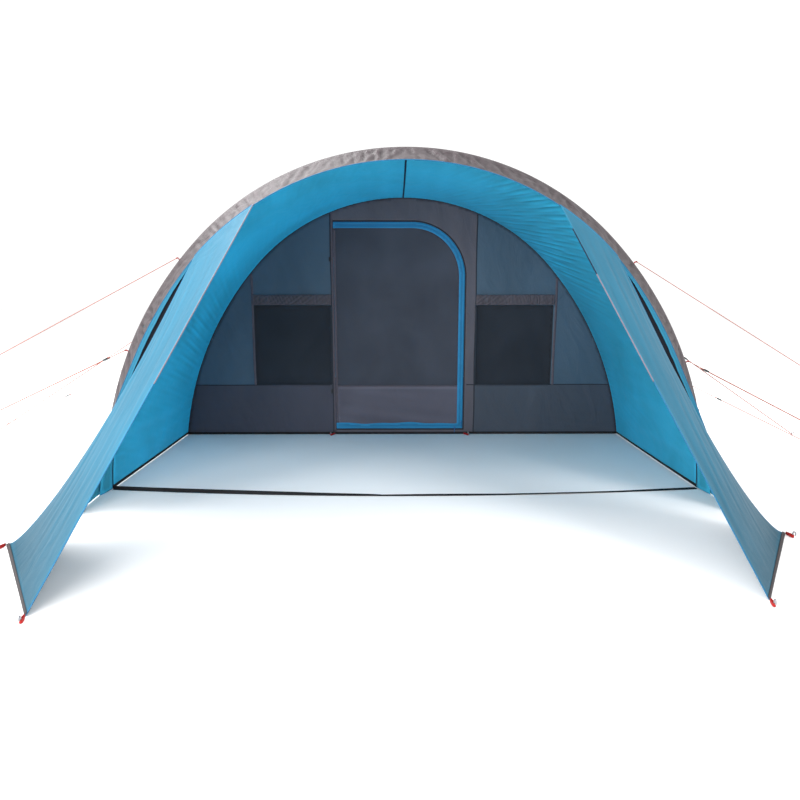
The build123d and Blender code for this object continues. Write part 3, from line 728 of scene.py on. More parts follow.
FRONT = Arch(FRONT_Y, 2.019, 1.700, 46.0, 2.288)
MIDDLE = Arch(WALL_POLE_Y, 2.003, 1.657, 47.9, 2.653)
REAR = Arch(REAR_Y, 1.800, 1.490, 47.9, 2.385)
TAIL = Arch(TAIL_Y, 0.320, 2.600, 24.0, 0.300)
HOOD = Arch(FRONT_Y - HOOD_DEPTH, 1.945, 1.612, 49.3, 2.421)


HOOD_EDGE_START = (WING_OUTER_ANGLE - 3.0) / HOOD.foot_angle()


def skin_grid(first, last, shares, depths):
    """Points of the sheet stretched between two arches, rows from left foot to right foot."""
    near = first.at(first.angle_of(shares))
    far = last.at(last.angle_of(shares))
    return near[:, None] * (1 - depths[None, :, None]) + far[:, None] * depths[None, :, None]


def arc_lengths(points):
    """Distance along the first axis of a grid, measured in its middle column, from the middle."""
    middle = points[:, points.shape[1] // 2]
    steps = np.linalg.norm(np.diff(middle, axis=0), axis=1)
    total = np.concatenate([[0], np.cumsum(steps)])
    return total - total[len(total) // 2]


def keep_above(points):
    points[..., 2] = np.maximum(points[..., 2], FLOOR_CLEAR)
    return points


def make_fly(node, first, last, material, sag, seed, busy, rows=301):
    """One bay of the fly: it dips between its poles and puckers where it's sewn to them.
    busy(along) is how wrinkled it is at a distance from the ridge."""
    shares = np.linspace(-2, 2, rows)
    depths = np.linspace(0, 1, 61)
    points = skin_grid(first, last, shares, depths)
    crown = rows // 2
    length = np.linalg.norm(points[crown, -1] - points[crown, 0])
    along = arc_lengths(points)[:, None] * np.ones_like(depths)[None]
    inward = depths[None] * length * np.ones_like(along)
    edge = np.minimum(inward, length - inward)
    bowl = np.sin(math.pi * depths)[None] * np.cos(along / np.max(along) * 1.1)
    ground = np.clip((2 - np.abs(shares)) / 0.12, 0, 1)[:, None]
    hold = np.clip(edge / 0.10, 0, 1)
    move = -sag * bowl
    move = move + 0.0045 * folds(along, inward, 0.21, seed) * hold
    slanting = folds(along + 0.3 * inward, inward, 0.074, seed + 1)
    move = move + 0.0032 * slanting * hold * (0.15 + busy(along))
    puckers = folds(along, inward, 0.055, seed + 2) * np.exp(-edge / 0.09)
    move = move + 0.0024 * puckers * np.clip(edge / 0.012, 0, 1)
    move = np.minimum(move, CREST_LIMIT)
    normals = grid_normals(points)
    outward = np.sign(normals[crown, 30, 2])
    points = points + normals * outward * (move * (0.25 + 0.75 * ground))[..., None]
    piece = shell(node + "_cloth", keep_above(points), [material, material], flip=outward < 0)
    stand_in(piece, node)
    return points, normals * outward


def porch_wrinkles(along):
    """Busiest on the right shoulder, and a little on the left side."""
    return 4.6 * np.exp(-((along - 1.15) / 0.40) ** 2) + 1.0 * np.exp(-((along + 2.1) / 0.5) ** 2)


# ---- Hood and wings ----
def hood_edge(angle):
    point = HOOD.at(angle)
    flare = np.clip(1 - point[..., 2] / HOOD_FLARE_HEIGHT, 0, None) ** 2
    hand = np.where(np.asarray(angle) >= 0, 1.0, -1.0)
    point[..., 0] += hand * HOOD_FLARE_OUT * flare
    point[..., 1] -= HOOD_FLARE_FORWARD * flare
    return point


def hood_grid(shares, depths):
    back = FRONT.at(shares * FRONT.foot_angle(z=HEM_LIFT), HOOD_OVER)
    front = hood_edge(shares * HOOD.foot_angle(z=HEM_LIFT))
    depths = np.asarray(depths)
    if depths.ndim == 1:
        depths = depths[None]
    return back[:, None] + (front - back)[:, None] * depths[..., None]


def make_hood():
    """The hood: it folds over the front pole's sleeve and runs forward, with slanting wrinkles."""
    shares = np.linspace(-1, 1, 481)
    depths = np.linspace(0, 1, 25)
    points = hood_grid(shares, depths)
    along = arc_lengths(points)[:, None] * np.ones_like(depths)[None]
    inward = depths[None] * HOOD_DEPTH * np.ones_like(along)
    hold = np.clip((depths - 0.03) / 0.24, 0, 1)[None] * np.clip((1 - np.abs(shares)) / 0.03, 0, 1)[:, None]
    slant = np.abs(along) - 0.55 * inward
    move = 0.0085 * folds(slant, along, 0.105, 11) * np.clip(np.abs(along) / 0.08, 0, 1)
    move = move + 0.0055 * folds(slant + 0.5 * inward, along, 0.052, 12)
    move = move + 0.0035 * folds(along - 1.1 * inward, inward, 0.19, 13)
    move = (move - 0.004 * np.sin(math.pi * depths)[None]) * (1 - np.clip((depths - 0.8) / 0.2, 0, 1))[None]
    normals = grid_normals(points)
    outward = np.sign(normals[240, 12, 2])
    points = points + normals * outward * (move * hold)[..., None]
    angles = shares * FRONT.foot_angle(z=HEM_LIFT)
    curl = [FRONT.at(angles, out) + np.array([0, back, 0]) for out, back in HOOD_CURL]
    points = np.concatenate([np.stack(curl, 1), points], 1)
    piece = shell("hood_cloth", keep_above(points), [GRAY, BLUE], flip=outward < 0)
    stand_in(piece, "hood")
    make_hood_lining(shares, angles, outward < 0)
    for hand in (-1, 1):
        make_hood_edge(hand)
    crown = np.linspace(-HOOD_EDGE_START, HOOD_EDGE_START, 200)
    seam = hood_grid(crown, np.array([1.0]))[:, 0]
    up = FRONT.out_at(crown * FRONT.foot_angle())
    tape("hood_front_hem", seam, up, 0.008, 0.0045, BLUE_SEAM)


def make_hood_lining(shares, angles, flip):
    """A strip that closes the gap between the front pole and the hood."""
    ends = FRONT.at(angles, -0.0015) + np.array([0, 0.002, 0])
    reach = (hood_grid(shares, np.array([0.30]))[:, 0] - FRONT.out_at(angles) * 0.012 - ends)[:, None]
    lining = ends[:, None] + reach * np.linspace(0, 1, 7)[None, :, None]
    piece = shell("hood_lining", keep_above(lining), [BLUE, BLUE], thickness=0.0012, flip=flip)
    seam = ends[1:-1] - FRONT.out_at(angles)[1:-1] * 0.0016
    tape("hood_lining_seam", seam, -FRONT.out_at(angles)[1:-1], 0.009, 0.0024, NAVY_TAPE)


def make_hood_edge(hand):
    """The hood's pale trim beside a wing, with a dark strip behind it painted as the shade in the slit
    between hood and wing, and a seam along it.
    """
    label = "left" if hand < 0 else "right"
    start = HOOD_EDGE_START
    run = np.linspace(start, 1, 110) * hand
    edge = hood_grid(run, np.array([1.0]))[:, 0]
    up = FRONT.out_at(run * FRONT.foot_angle())
    grow = np.clip((np.abs(run) - start) / TRIM_TAPER, 0.05, 1)
    shrink = np.clip((1 - np.abs(run)) / 0.22, 0.15, 1)
    steps = np.linspace(0, 1, 6)
    reach = (TRIM_WIDTH * grow * shrink)[:, None] * steps[None]
    lean = np.array([0, -0.35, 0])
    ripple = folds(np.abs(run)[:, None] * 2.5, reach * 3, 0.09, 15 + hand)
    trim = edge[:, None] + (lean - up)[:, None] * reach[..., None]
    trim = trim + up[:, None] * (0.0018 * ripple)[..., None]
    piece = shell(f"hood_trim_{label}", keep_above(trim), [BLUE_WING, BLUE_WING], flip=hand > 0)
    stand_in(piece, "hood_trim")
    # The dark strip behind the trim is painted shade, for the shadow seen in the slit between hood and wing.
    reach = (SLIT_SHADE_WIDTH * grow * shrink)[:, None] * steps[None] + 0.010
    slit_shade = edge[:, None] - up[:, None] * reach[..., None] + np.array([0, 0.014, 0])
    piece = shell(f"hood_slit_shade_{label}", keep_above(slit_shade), [SHADE, SHADE], flip=hand > 0)
    tape(f"hood_seam_{label}", edge + up * 0.002, up, 0.006, 0.003, BLUE_SEAM)


def wing_grid(hand, falls, sides):
    """Points of a wing, in rows from its head down to its pegs."""
    top = hood_edge(WING_INNER_ANGLE + (WING_OUTER_ANGLE - WING_INNER_ANGLE) * sides)
    top = top + np.array([0.6, -0.8, 0]) * EDGE_GAP * 2
    inner = np.array([*WING_INNER_STAKE[hand], HEM_LIFT]) + np.array([0, FRONT_Y, 0])
    outer = np.array([*WING_OUTER_STAKE[hand], HEM_LIFT]) + np.array([0, FRONT_Y, 0])
    foot = inner + (outer - inner) * sides[:, None]
    points = top[None] + (foot - top)[None] * falls[:, None, None]
    bow = WING_BOW[hand] * falls ** WING_BOW_RISE[hand] * (1 - falls) ** WING_BOW_FALL
    points[..., 0] -= bow[:, None] * (sides**2)[None]
    points[..., 0] *= hand
    return points


def make_wing(hand):
    """A wing's sheet with its bindings and seams."""
    name = "left" if hand < 0 else "right"
    falls, sides = np.linspace(0, 1, 161), np.linspace(0, 1, 49)
    points = wing_grid(hand, falls, sides)
    across = sides[None] * (0.45 + 0.4 * falls[:, None])
    along = falls[:, None] * 2.1 * np.ones_like(across)
    edge = np.clip(sides / 0.12, 0, 1)[None] * np.clip((1 - sides) / 0.16, 0, 1)[None]
    edge = edge * np.clip(falls / 0.04, 0, 1)[:, None] * np.clip((1 - falls) / 0.05, 0, 1)[:, None]
    loose = np.sin(math.pi * falls)[:, None]
    move = 0.006 * folds(across, along, 0.29, 21 + hand) * loose
    move = move + 0.003 * folds(across + 0.12 * along, along, 0.11, 23 + hand) * (0.4 + 0.6 * loose)
    move = move + 0.012 * np.sin(math.pi * sides)[None] * np.sin(math.pi * falls)[:, None]
    normals = grid_normals(points)
    points = points + normals * (move * edge)[..., None]
    outward = np.sign(normals[80, 24, 0]) * hand
    piece = shell(f"wing_{name}_cloth", keep_above(points), [BLUE_WING, BLUE_WING], flip=outward < 0)
    stand_in(piece, f"wing_{name}")
    surface = grid_normals(points)
    if hand > 0:
        # Painted shadow: a near-black tape down the top of the right wing's inner edge, for the shadow in
        # the gap between wing and porch.
        tape("wing_right_inner_shadow_line", points[WING_SHADOW_LINE, 0], surface[WING_SHADOW_LINE, 0], 0.009, 0.006, NAVY_TAPE)
    low_edge = points[-1] + np.array([0, 0, 0.004])
    piping = WING_PIPING[hand]
    plain = slice(piping.stop - 1, None)
    bindings = [
        ("inner_piping", points[piping, 0], surface[piping, 0], 0.010, 0.006, PALE_TAPE),
        ("inner_binding", points[plain, 0], surface[plain, 0], 0.007, 0.004, BLUE_SEAM),
        ("outer_binding", points[4:, -1], surface[4:, -1], 0.006, 0.004, BLUE_SEAM),
        ("lower_binding", low_edge, surface[-1], 0.016, 0.005, DARK_TAPE),
        ("head_seam", points[0], surface[0], 0.009, 0.0045, BLUE_SEAM),
    ]
    for part, path, normals, width, thickness, material in bindings:
        tape(f"wing_{name}_{part}", path, normals, width, thickness, material)


# ---- Fly details ----
def ground_hems(points, name):
    """Black binding along both ground edges of a fly bay."""
    for side, edge in ((-1, points[0]), (1, points[-1])):
        path = edge.copy()
        path[:, 2] = 0.0135
        label = "left" if side < 0 else "right"
        tape(f"{name}_hem_{label}", path, np.array([side, 0, 0.1]), 0.024, 0.008, BLACK_TAPE)


def make_fly_details(porch, normals):
    ground_hems(porch, "porch_fly")
    middle = len(porch) // 2
    ridge = porch[middle] - normals[middle] * 0.0022
    tape("ridge_seam_inside", ridge, -normals[middle], 0.012, 0.003, NAVY_TAPE)
    edge = porch[:, -1] - normals[:, -1] * 0.004
    tape("wall_arch_binding", edge - np.array([0, 0.012, 0]), -normals[:, -1], 0.014, 0.005, DARK_TAPE)


def make_sleeve(name, arch, material):
    """A stitched tube of cloth round a pole, with puckers along its seam."""
    end = arch.foot_angle(POLE_OUT, 0.06)
    angles = np.linspace(-end, end, 421)
    turns = np.linspace(0, 2 * math.pi, 21)
    centre = arch.at(angles, POLE_OUT)
    out = arch.out_at(angles)
    along = np.concatenate([[0], np.cumsum(np.linalg.norm(np.diff(centre, axis=0), axis=1))])
    around = turns[None] * SLEEVE_RADIUS * np.ones((len(angles), 1))
    radius = SLEEVE_RADIUS - 0.0025 + 0.0015 * folds(along[:, None] + 0.6 * around, around, 0.07, 61)
    radius = radius - 0.0012 * np.exp(-(np.minimum(turns, 2 * math.pi - turns) / 0.5) ** 2)[None]
    radius[:, -1] = radius[:, 0]
    sideways = np.array([0.0, -1.0, 0.0])
    points = centre[:, None] + radius[..., None] * (
        -out[:, None] * np.cos(turns)[None, :, None] + sideways * np.sin(turns)[None, :, None])
    piece = shell(f"sleeve_{name}_cloth", points, [material, material], thickness=0.0012)
    stand_in(piece, f"pole_sleeve_{name}")


# ---- Cabin wall, door and windows ----
def door_outline(left, right, bottom, top, corner):
    """A door's outline with one round top right corner, counter-clockwise from its bottom left."""
    turn = np.radians(np.linspace(0, 90, 25))
    arc = [(right - corner + corner * math.cos(t), top - corner + corner * math.sin(t)) for t in turn]
    return [(left, bottom), (right, bottom)] + arc + [(left, top)]


LEAF = (LEAF_LOW.x, LEAF_HIGH.x, LEAF_LOW.z, LEAF_HIGH.z, DOOR_CORNER)
DOOR_HOLE = door_outline(LEAF[0] - DOOR_GAP, LEAF[1] + DOOR_GAP, LEAF[2] - DOOR_GAP, LEAF[3] + DOOR_GAP,
                         DOOR_CORNER + DOOR_GAP)


def window_hole(corners):
    low, high = corners
    left, right = low.x + WINDOW_LAP, high.x - WINDOW_LAP
    bottom, top = low.z + WINDOW_LAP, high.z - WINDOW_LAP
    return [(left, bottom), (right, bottom), (right, top), (left, top)]


def arch_outline(arch, count, inset):
    """The outline of a panel inside an arch, counter-clockwise from its left foot."""
    foot = arch.foot_angle(-0.0025)
    arc = arch.at(np.linspace(foot, -foot, count), -inset)
    edge = [(float(p[0]), max(HEM_LIFT, float(p[2]))) for p in arc]
    return edge[-1:] + edge[:-1]


def make_wall():
    edge = arch_outline(MIDDLE, 161, 0.0028)
    windows = [window_hole(WINDOW_LEFT), window_hole(WINDOW_RIGHT)]
    loops = [spaced(loop, 0.05) for loop in [DOOR_HOLE] + windows]

    def depth(x, z):
        points = np.stack([x, z], 1)
        held = np.clip(gap_to(edge, points) / 0.06, 0, 1)
        for loop in loops:
            held = np.minimum(held, np.clip(gap_to(loop, points) / 0.07, 0, 1))
        turn = np.arctan2(x, z - 0.3)
        rim = np.exp(-gap_to(edge, points) / 0.12)
        out = 0.0050 * folds(x, z, 0.27, 71) + 0.0035 * folds(x + 0.45 * z, z, 0.13, 72)
        out = out + 0.0060 * folds(turn * 1.9, gap_to(edge, points), 0.10, 73) * rim
        slack = np.exp(-(((x + 1.15) / 0.22) ** 2 + ((z - 1.24) / 0.10) ** 2))
        out = out + 0.0070 * folds(x + 0.8 * z, z, 0.048, 74) * slack
        bottom = np.exp(-z / 0.09) * np.clip(np.abs(x) / 0.2, 0.3, 1)
        out = out + 0.006 * np.sin(3.1 * x + 0.8) * bottom
        return np.minimum(out * held, 0.0075)

    wall = flat_panel("wall_cloth", edge, [DOOR_HOLE] + windows, 0.024, depth, WALL_Y + 0.001, WALL)
    stand_in(wall, "front_wall")
    make_wall_seams()


def make_wall_seams():
    """Upright seams, the seam at knee height, the ground hem and the windows' bindings."""
    face = np.array([0, -1.0, 0])
    y = WALL_Y - 0.0022
    for x in WALL_SEAMS + WALL_SIDE_SEAMS:
        angle = float(np.interp(abs(x), MIDDLE.at(np.linspace(0, 80, 200))[:, 0], np.linspace(0, 80, 200)))
        top = float(MIDDLE.at(angle)[2]) - 0.012
        wide = 0.010 if x in WALL_SEAMS else 0.020
        low = 0.012 if x in WALL_SEAMS else WALL_BAND_Z
        run = np.array([(x + 0.002 * math.sin(7 * z), y, z) for z in np.linspace(low, top, 60)])
        label = f"wall_seam_{'left' if x < 0 else 'right'}_{'inner' if x in WALL_SEAMS else 'outer'}"
        tape(label, run, face, wide, 0.0024, SEAM_DARK if x in WALL_SEAMS else BROWN_TAPE)
        stitches(label + "_thread", run, face, GRAY_TAPE)
    for left, right, label in ((-BAND_REACH, LEAF[0] - 0.05, "left"), (LEAF[1] + 0.03, BAND_REACH, "right")):
        run = steps_between((left, y, WALL_BAND_Z), (right, y, WALL_BAND_Z), 80)
        run[:, 2] += 0.002 * np.sin(5 * run[:, 0])
        tape(f"wall_band_seam_{label}", run, face, 0.008, 0.0022, SEAM_DARK)
    hem = steps_between((-HEM_REACH, y - 0.001, 0.011), (HEM_REACH, y - 0.001, 0.011), 150)
    tape("wall_ground_hem", hem, face, 0.020, 0.0035, BLACK_TAPE)
    for name, corners in (("left", WINDOW_LEFT), ("right", WINDOW_RIGHT)):
        loop = window_hole(corners)
        for i, ((x, z), (u, w)) in enumerate(zip(loop, loop[1:] + loop[:1])):
            run = steps_between((x, y + 0.0006, z), (u, y + 0.0006, w), 30)
            tape(f"window_{name}_binding_{i}", run, face, 0.009, 0.0024, SEAM_DARK)


def make_windows():
    for name, (low, high) in (("left", WINDOW_LEFT), ("right", WINDOW_RIGHT)):
        edge = [(low.x, low.z), (high.x, low.z), (high.x, high.z), (low.x, high.z)]
        seed = 81 if name == "left" else 85
        centre = (low.x + high.x) / 2

        def depth(x, z):
            held = np.clip(gap_to(edge, np.stack([x, z], 1)) / 0.05, 0, 1)
            return (0.004 * folds(x + 0.3 * z, z, 0.23, seed) - 0.010) * held

        mesh = flat_panel(f"window_{name}_net", edge, [], 0.03, depth, NET_Y, WINDOW_MESH, NET)
        stand_in(mesh, f"window_mesh_{name}")
        make_blind(name, centre, high.x - low.x - 0.024, seed)


def make_blind(name, centre, width, seed):
    """The window's blind: a flat roll of cloth above the window, wrinkled and tied in two places."""
    low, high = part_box(f"window_blind_{name}")
    half_height, half_depth = (high.z - low.z) / 2 - 0.003, (high.y - low.y) / 2 - 0.0018
    middle = (low + high) / 2
    across = np.linspace(-width / 2, width / 2, 121)
    turns = np.linspace(0.25, 2.75, 101)
    shrink = 1 - 0.24 * (turns - 0.25)
    turn = 2 * math.pi * turns
    up = np.sign(np.sin(turn)) * np.abs(np.sin(turn)) ** 0.75
    forth = np.sign(np.cos(turn)) * np.abs(np.cos(turn)) ** 0.55
    ripple = folds(across[:, None] - 0.055 * up[None], np.sin(turn)[None] * 0.05, 0.058, seed)
    finer = folds(across[:, None] + 0.02 * up[None], np.cos(turn)[None] * 0.04, 0.030, seed + 1)
    ripple = ripple + 0.6 * finer
    crush = 0.35 + (1.0 if name == "left" else 0.2) * np.exp(-(((across + 0.14) / 0.16) ** 2))
    ties = np.exp(-(np.abs(np.abs(across) - width * 0.30) / 0.016) ** 2)
    swell = 1 - 0.07 * ties[:, None] + 0.09 * ripple
    deep = np.minimum(0.90 * swell + 0.45 * ripple * crush[:, None], 1.04)
    x = centre + across[:, None] * np.ones_like(turns)[None]
    y = middle.y + half_depth * (shrink * forth)[None] * deep
    z = middle.z + half_height * (shrink * up)[None] * np.minimum(swell, 1.0)
    z = z + 0.0015 * np.sin(9 * across)[:, None]
    points = np.stack([x, y, z], -1)
    piece = shell(f"blind_{name}_cloth", points, [BLIND, BLIND], thickness=0.0012)
    stand_in(piece, f"window_blind_{name}")
    turn = np.linspace(0, 2 * math.pi, 49)
    for side, label in ((-1, "left"), (1, "right")):
        around = [np.zeros(49), (half_depth + 0.0005) * np.cos(turn), half_height * 0.86 * np.sin(turn)]
        outward = np.stack(around, 1)
        tie = outward + np.array([centre + side * width * 0.30, middle.y, middle.z])
        tape(f"blind_{name}_tie_{label}", tie, outward, 0.009, 0.0012, BLIND)


def make_door():
    outer = door_outline(*LEAF)
    outer_fine = spaced(outer, 0.05)
    make_door_leaf(outer, outer_fine)
    make_door_net()
    make_door_flap(outer, outer_fine)
    make_door_seams()


def make_door_leaf(outer, outer_fine):
    """The leaf's cloth below and round the net."""
    left, right, bottom, top, corner = LEAF
    hole = door_outline(left + DOOR_STILE, right - DOOR_BAND, DOOR_MESH_LOW, top - DOOR_BAND,
                        corner - DOOR_BAND)
    hole_fine = spaced(hole, 0.05)

    def depth(x, z):
        points = np.stack([x, z], 1)
        held = np.clip(gap_to(outer_fine, points) / 0.05, 0, 1)
        held = held * np.clip(gap_to(hole_fine, points) / 0.04, 0.15, 1)
        return 0.0045 * folds(z + 0.12 * x, x, 0.17, 91) * held

    leaf = flat_panel("door_cloth", outer, [hole], 0.022, depth, WALL_Y + 0.001, DOOR_CLOTH, body="door")
    stand_in(leaf, "door_leaf")


def make_door_net():
    low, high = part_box("door_mesh")
    edge = door_outline(low.x, high.x, low.z, high.z, DOOR_CORNER - DOOR_BAND + 0.014)
    fine = spaced(edge, 0.05)

    def depth(x, z):
        held = np.clip(gap_to(fine, np.stack([x, z], 1)) / 0.09, 0, 1)
        waves = 0.0045 * folds(x + 0.35 * z, z, 0.31, 93) + 0.002 * folds(x, z, 0.11, 94)
        return (-0.010 + waves) * held

    net = flat_panel("door_net", edge, [], 0.03, depth, NET_Y, DOOR_MESH, NET, "door")
    stand_in(net, "door_mesh")


def make_door_flap(outer, outer_fine):
    """The blue flap over the zip: along the top, down the right side and along the bottom."""
    left, right, bottom, top, corner = LEAF
    low, high = bottom + DOOR_BAND, top - DOOR_BAND
    inner = door_outline(left, right - DOOR_BAND, low, high, corner - DOOR_BAND)
    wave = []
    for x, z in spaced(inner, 0.012):
        if z < low + 0.001 and left + 0.01 < x < right - DOOR_BAND - 0.01:
            z += 0.005 * math.sin(9.5 * x + 1.3) + 0.003 * math.sin(23 * x)
        wave.append((x, z))
    last = min(range(len(wave)), key=lambda i: math.hypot(wave[i][0] - left, wave[i][1] - high))
    edge = outer + [(x, z) for x, z in reversed(wave[: last + 1])
                    if x > left or abs(z - low) < 0.01 or abs(z - high) < 0.002]

    def depth(x, z):
        reach = gap_to(outer_fine, np.stack([x, z], 1))
        loose = np.clip((reach - 0.022) / 0.028, 0, 1) ** 2 * np.clip((x - left) / 0.05, 0, 1)
        along = np.where(z > top - corner, x - z, x + z)
        return loose * (0.0035 + 0.0035 * folds(along, reach, 0.12, 95)) + 0.0004

    flap = flat_panel("door_flap", edge, [], 0.011, depth, WALL_Y - 0.0006, BLUE_DARK, 0.0010, "door")
    stand_in(flap, "door_zip_flap")


def make_door_seams():
    left, right, bottom, top, corner = LEAF
    front = np.array([0, -1.0, 0])
    inset = door_outline(left, right - 0.006, bottom + 0.006, top - 0.006, corner - 0.006)
    row = np.array([(x, WALL_Y - 0.0018, z) for x, z in inset])
    stitches("door_flap_thread", row, front, BLUE_SEAM, body="door")
    y, z = WALL_Y - 0.0014, DOOR_MESH_LOW - 0.006
    sill = steps_between((left + 0.02, y, z), (right - 0.052, y, z), 60)
    tape("door_sill_seam", sill, front, 0.010, 0.0022, BROWN_TAPE, body="door")
    stile = steps_between((left + 0.011, y, bottom + 0.055), (left + 0.011, y, top - 0.055), 60)
    tape("door_stile_tape", stile, front, 0.016, 0.0022, BROWN_TAPE, body="door")
    strip = steps_between((left - 0.011, WALL_Y - 0.0026, 0.02), (left - 0.011, WALL_Y - 0.0026, 1.895), 90)
    tape("door_hinge_strip", strip, front, 0.016, 0.0026, BROWN_TAPE)


# ---- Webbing on the ground ----
def webbing(name, strips, width, thickness, node):
    """Short strips of red webbing, each a path and its normals, as one piece."""
    parts = []
    for path, normals in strips:
        tape(name, path, normals, width, thickness, None, extra=parts)
    stand_in(joined(name, parts, RED_TAPE), node)


def across_of(path, axis):
    """Normals of a strip that stands on its edge along an axis."""
    return np.cross(np.gradient(path, axis=0), axis)


def peg_loop(points, feet):
    """A loop from the hem round its peg. The two at the door spread wide."""
    centre = middle_of(points)
    foot = min(feet, key=lambda f: math.hypot(f[0] - centre[0], f[1] - centre[1]))
    base = np.array([foot[0], foot[1], 0.0])
    run = base - np.array([centre[0], centre[1], 0.0])
    run /= np.linalg.norm(run)
    side = np.array([-run[1], run[0], 0.0])
    at_door = abs(centre[0]) < 1.0 and abs(centre[1] - WALL_Y) < 0.2
    spread = 0.026 if at_door else 0.0012
    length = np.abs((points - base) @ run).max()
    half = [(-length, spread), (-length * 0.6, max(0.0040, spread * 0.62)),
            (-length * 0.2, max(0.0055, spread * 0.3))]
    bend = [(LOOP_BEND * math.sin(t), LOOP_BEND * math.cos(t)) for t in np.linspace(0, math.pi, 13)]
    line = half + bend + [(a, -b) for a, b in reversed(half)]
    path = np.array([base + run * a + side * b + np.array([0, 0, LOOP_Z]) for a, b in line])
    return path, across_of(path, [0, 0, 1.0])


def guy_tab(points):
    """A folded tab that stands out from a sleeve."""
    centre = middle_of(points)
    arch = min((FRONT, MIDDLE, REAR), key=lambda a: abs(a.y - centre[1]))
    hand = 1.0 if centre[0] > 0 else -1.0
    out = np.array([abs(centre[0]) - arch.side_x, 0, centre[2] - arch.side_z])
    out = out / np.linalg.norm(out) * np.array([hand, 1, 1])
    lift = np.cross(out, [0, 1.0, 0])
    half = [(-0.0065, 0.0009), (0.0, 0.0016)]
    bend = [(0.010 + TAB_BEND * math.sin(t), TAB_BEND * math.cos(t)) for t in np.linspace(0, math.pi, 9)]
    line = half + bend + [(a, -b) for a, b in reversed(half)]
    path = np.array([centre + out * a + lift * b for a, b in line])
    return path, across_of(path, [0, 1.0, 0])


def foot_strip(points):
    """The webbing under a pole's foot."""
    centre = middle_of(points)
    xs = np.linspace(-0.0145, 0.0145, 9)
    path = [(centre[0] + x, centre[1], 0.0012 + 0.0004 * math.cos(x * 90)) for x in xs]
    return np.array(path), np.array([0, 0, 1.0])


def make_loops():
    feet = [middle_of(points[points[:, 2] < 0.004])[:2] for points in clumps("hem_pegs")]
    loops = [peg_loop(points, feet) for points in clumps("peg_loops")]
    webbing("peg_webbing", loops, 0.015, 0.0014, "peg_loops")
    tabs = [guy_tab(points) for points in clumps("guy_tabs")]
    webbing("guy_tab_webbing", tabs, 0.015, 0.0012, "guy_tabs")
    strips = [foot_strip(points) for points in clumps("pole_foot_tabs")]
    webbing("pole_foot_webbing", strips, 0.029, 0.0016, "pole_foot_tabs")


def make_strap():
    """The strap between the front pole's feet, twisted on edge at its left end and flat elsewhere."""
    reach = float(FRONT.at(FRONT.foot_angle())[0]) - STRAP_END_GAP
    radius = (reach**2 + STRAP_BOW**2) / (2 * STRAP_BOW)
    x = np.linspace(-reach, reach, 260)
    y = FRONT_Y - STRAP_SETBACK - STRAP_BOW + radius - np.sqrt(radius**2 - x**2)
    lean = np.radians(78) * np.clip(1 - (x + reach) / 1.7, 0, 1) ** 0.6
    lean = lean + np.radians(8) * np.sin(4.2 * x + 0.6) * np.clip((x + reach) / 1.7, 0, 1)
    z = 0.0012 + STRAP_WIDTH / 2 * np.abs(np.sin(lean))
    path = np.stack([x, y, z], 1)
    tangent = np.gradient(path, axis=0)
    flat_side = np.cross([0, 0, 1.0], tangent)
    flat_side /= np.linalg.norm(flat_side, axis=1, keepdims=True)
    normals = np.cos(lean)[:, None] * np.array([0, 0, 1.0]) - np.sin(lean)[:, None] * flat_side
    piece = tape("ground_webbing", path, normals, STRAP_WIDTH, 0.0018, BLACK_TAPE)
    stand_in(piece, "ground_strap")


# ---- Groundsheet and tail ----
def make_groundsheet():
    low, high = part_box("groundsheet")
    ys = np.linspace(low.y, high.y, 90)
    rear, far = (float(arch.at(arch.foot_angle())[0]) - 0.025 for arch in (REAR, TAIL))
    near = high.x
    half = np.interp(ys, [low.y, REAR_Y, high.y], [near, rear, far]) - 0.002
    across = np.linspace(-1, 1, 130)
    x = across[:, None] * half[None]
    y = np.ones_like(across)[:, None] * ys[None]
    z = 0.0018 + 0.0016 * np.clip(folds(x, y, 0.35, 55), 0, 1)
    z = z + 0.0008 * np.clip(folds(y, x, 0.21, 56), 0, 1)
    piece = shell("groundsheet_cloth", np.stack([x, y, z], -1), [GROUND, GROUND], thickness=0.0014)
    stand_in(piece, "groundsheet")


def make_tail_panel():
    low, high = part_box("tail_end_panel")
    edge = arch_outline(TAIL, 121, 0.0030)
    fine = spaced(edge, 0.05)

    def depth(x, z):
        return 0.004 * folds(x, z, 0.14, 57) * np.clip(gap_to(fine, np.stack([x, z], 1)) / 0.05, 0, 1)

    piece = flat_panel("tail_panel_cloth", edge, [], 0.025, depth, (low.y + high.y) / 2, GRAY)
    stand_in(piece, "tail_end_panel")


# ---- Guy lines ----
# Name, arch, side, height of the tab, the peg's X and Y from the front pole, the runner's place.
GUYS = [
    ("front_upper_left", FRONT, -1, 1.410, (-3.780, -0.720), 1.500),
    ("front_upper_right", FRONT, 1, 1.390, (3.420, -0.680), 1.400),
    ("front_lower_left", FRONT, -1, 0.870, (-3.660, 0.290), 0.110),
    ("front_lower_right", FRONT, 1, 0.800, (3.400, 0.250), 0.110),
    ("middle_upper_left", MIDDLE, -1, 1.450, (-3.620, 1.600), 1.500),
    ("middle_upper_right", MIDDLE, 1, 1.400, (3.400, 1.420), 1.300),
    ("middle_lower_left", MIDDLE, -1, 0.900, (-3.600, 1.210), 1.250),
    ("middle_lower_right", MIDDLE, 1, 0.800, (3.270, 0.800), 1.000),
    ("rear_left", REAR, -1, 1.250, (-2.450, 4.500), 1.100),
    ("rear_right", REAR, 1, 1.250, (2.450, 4.500), 1.100),
]


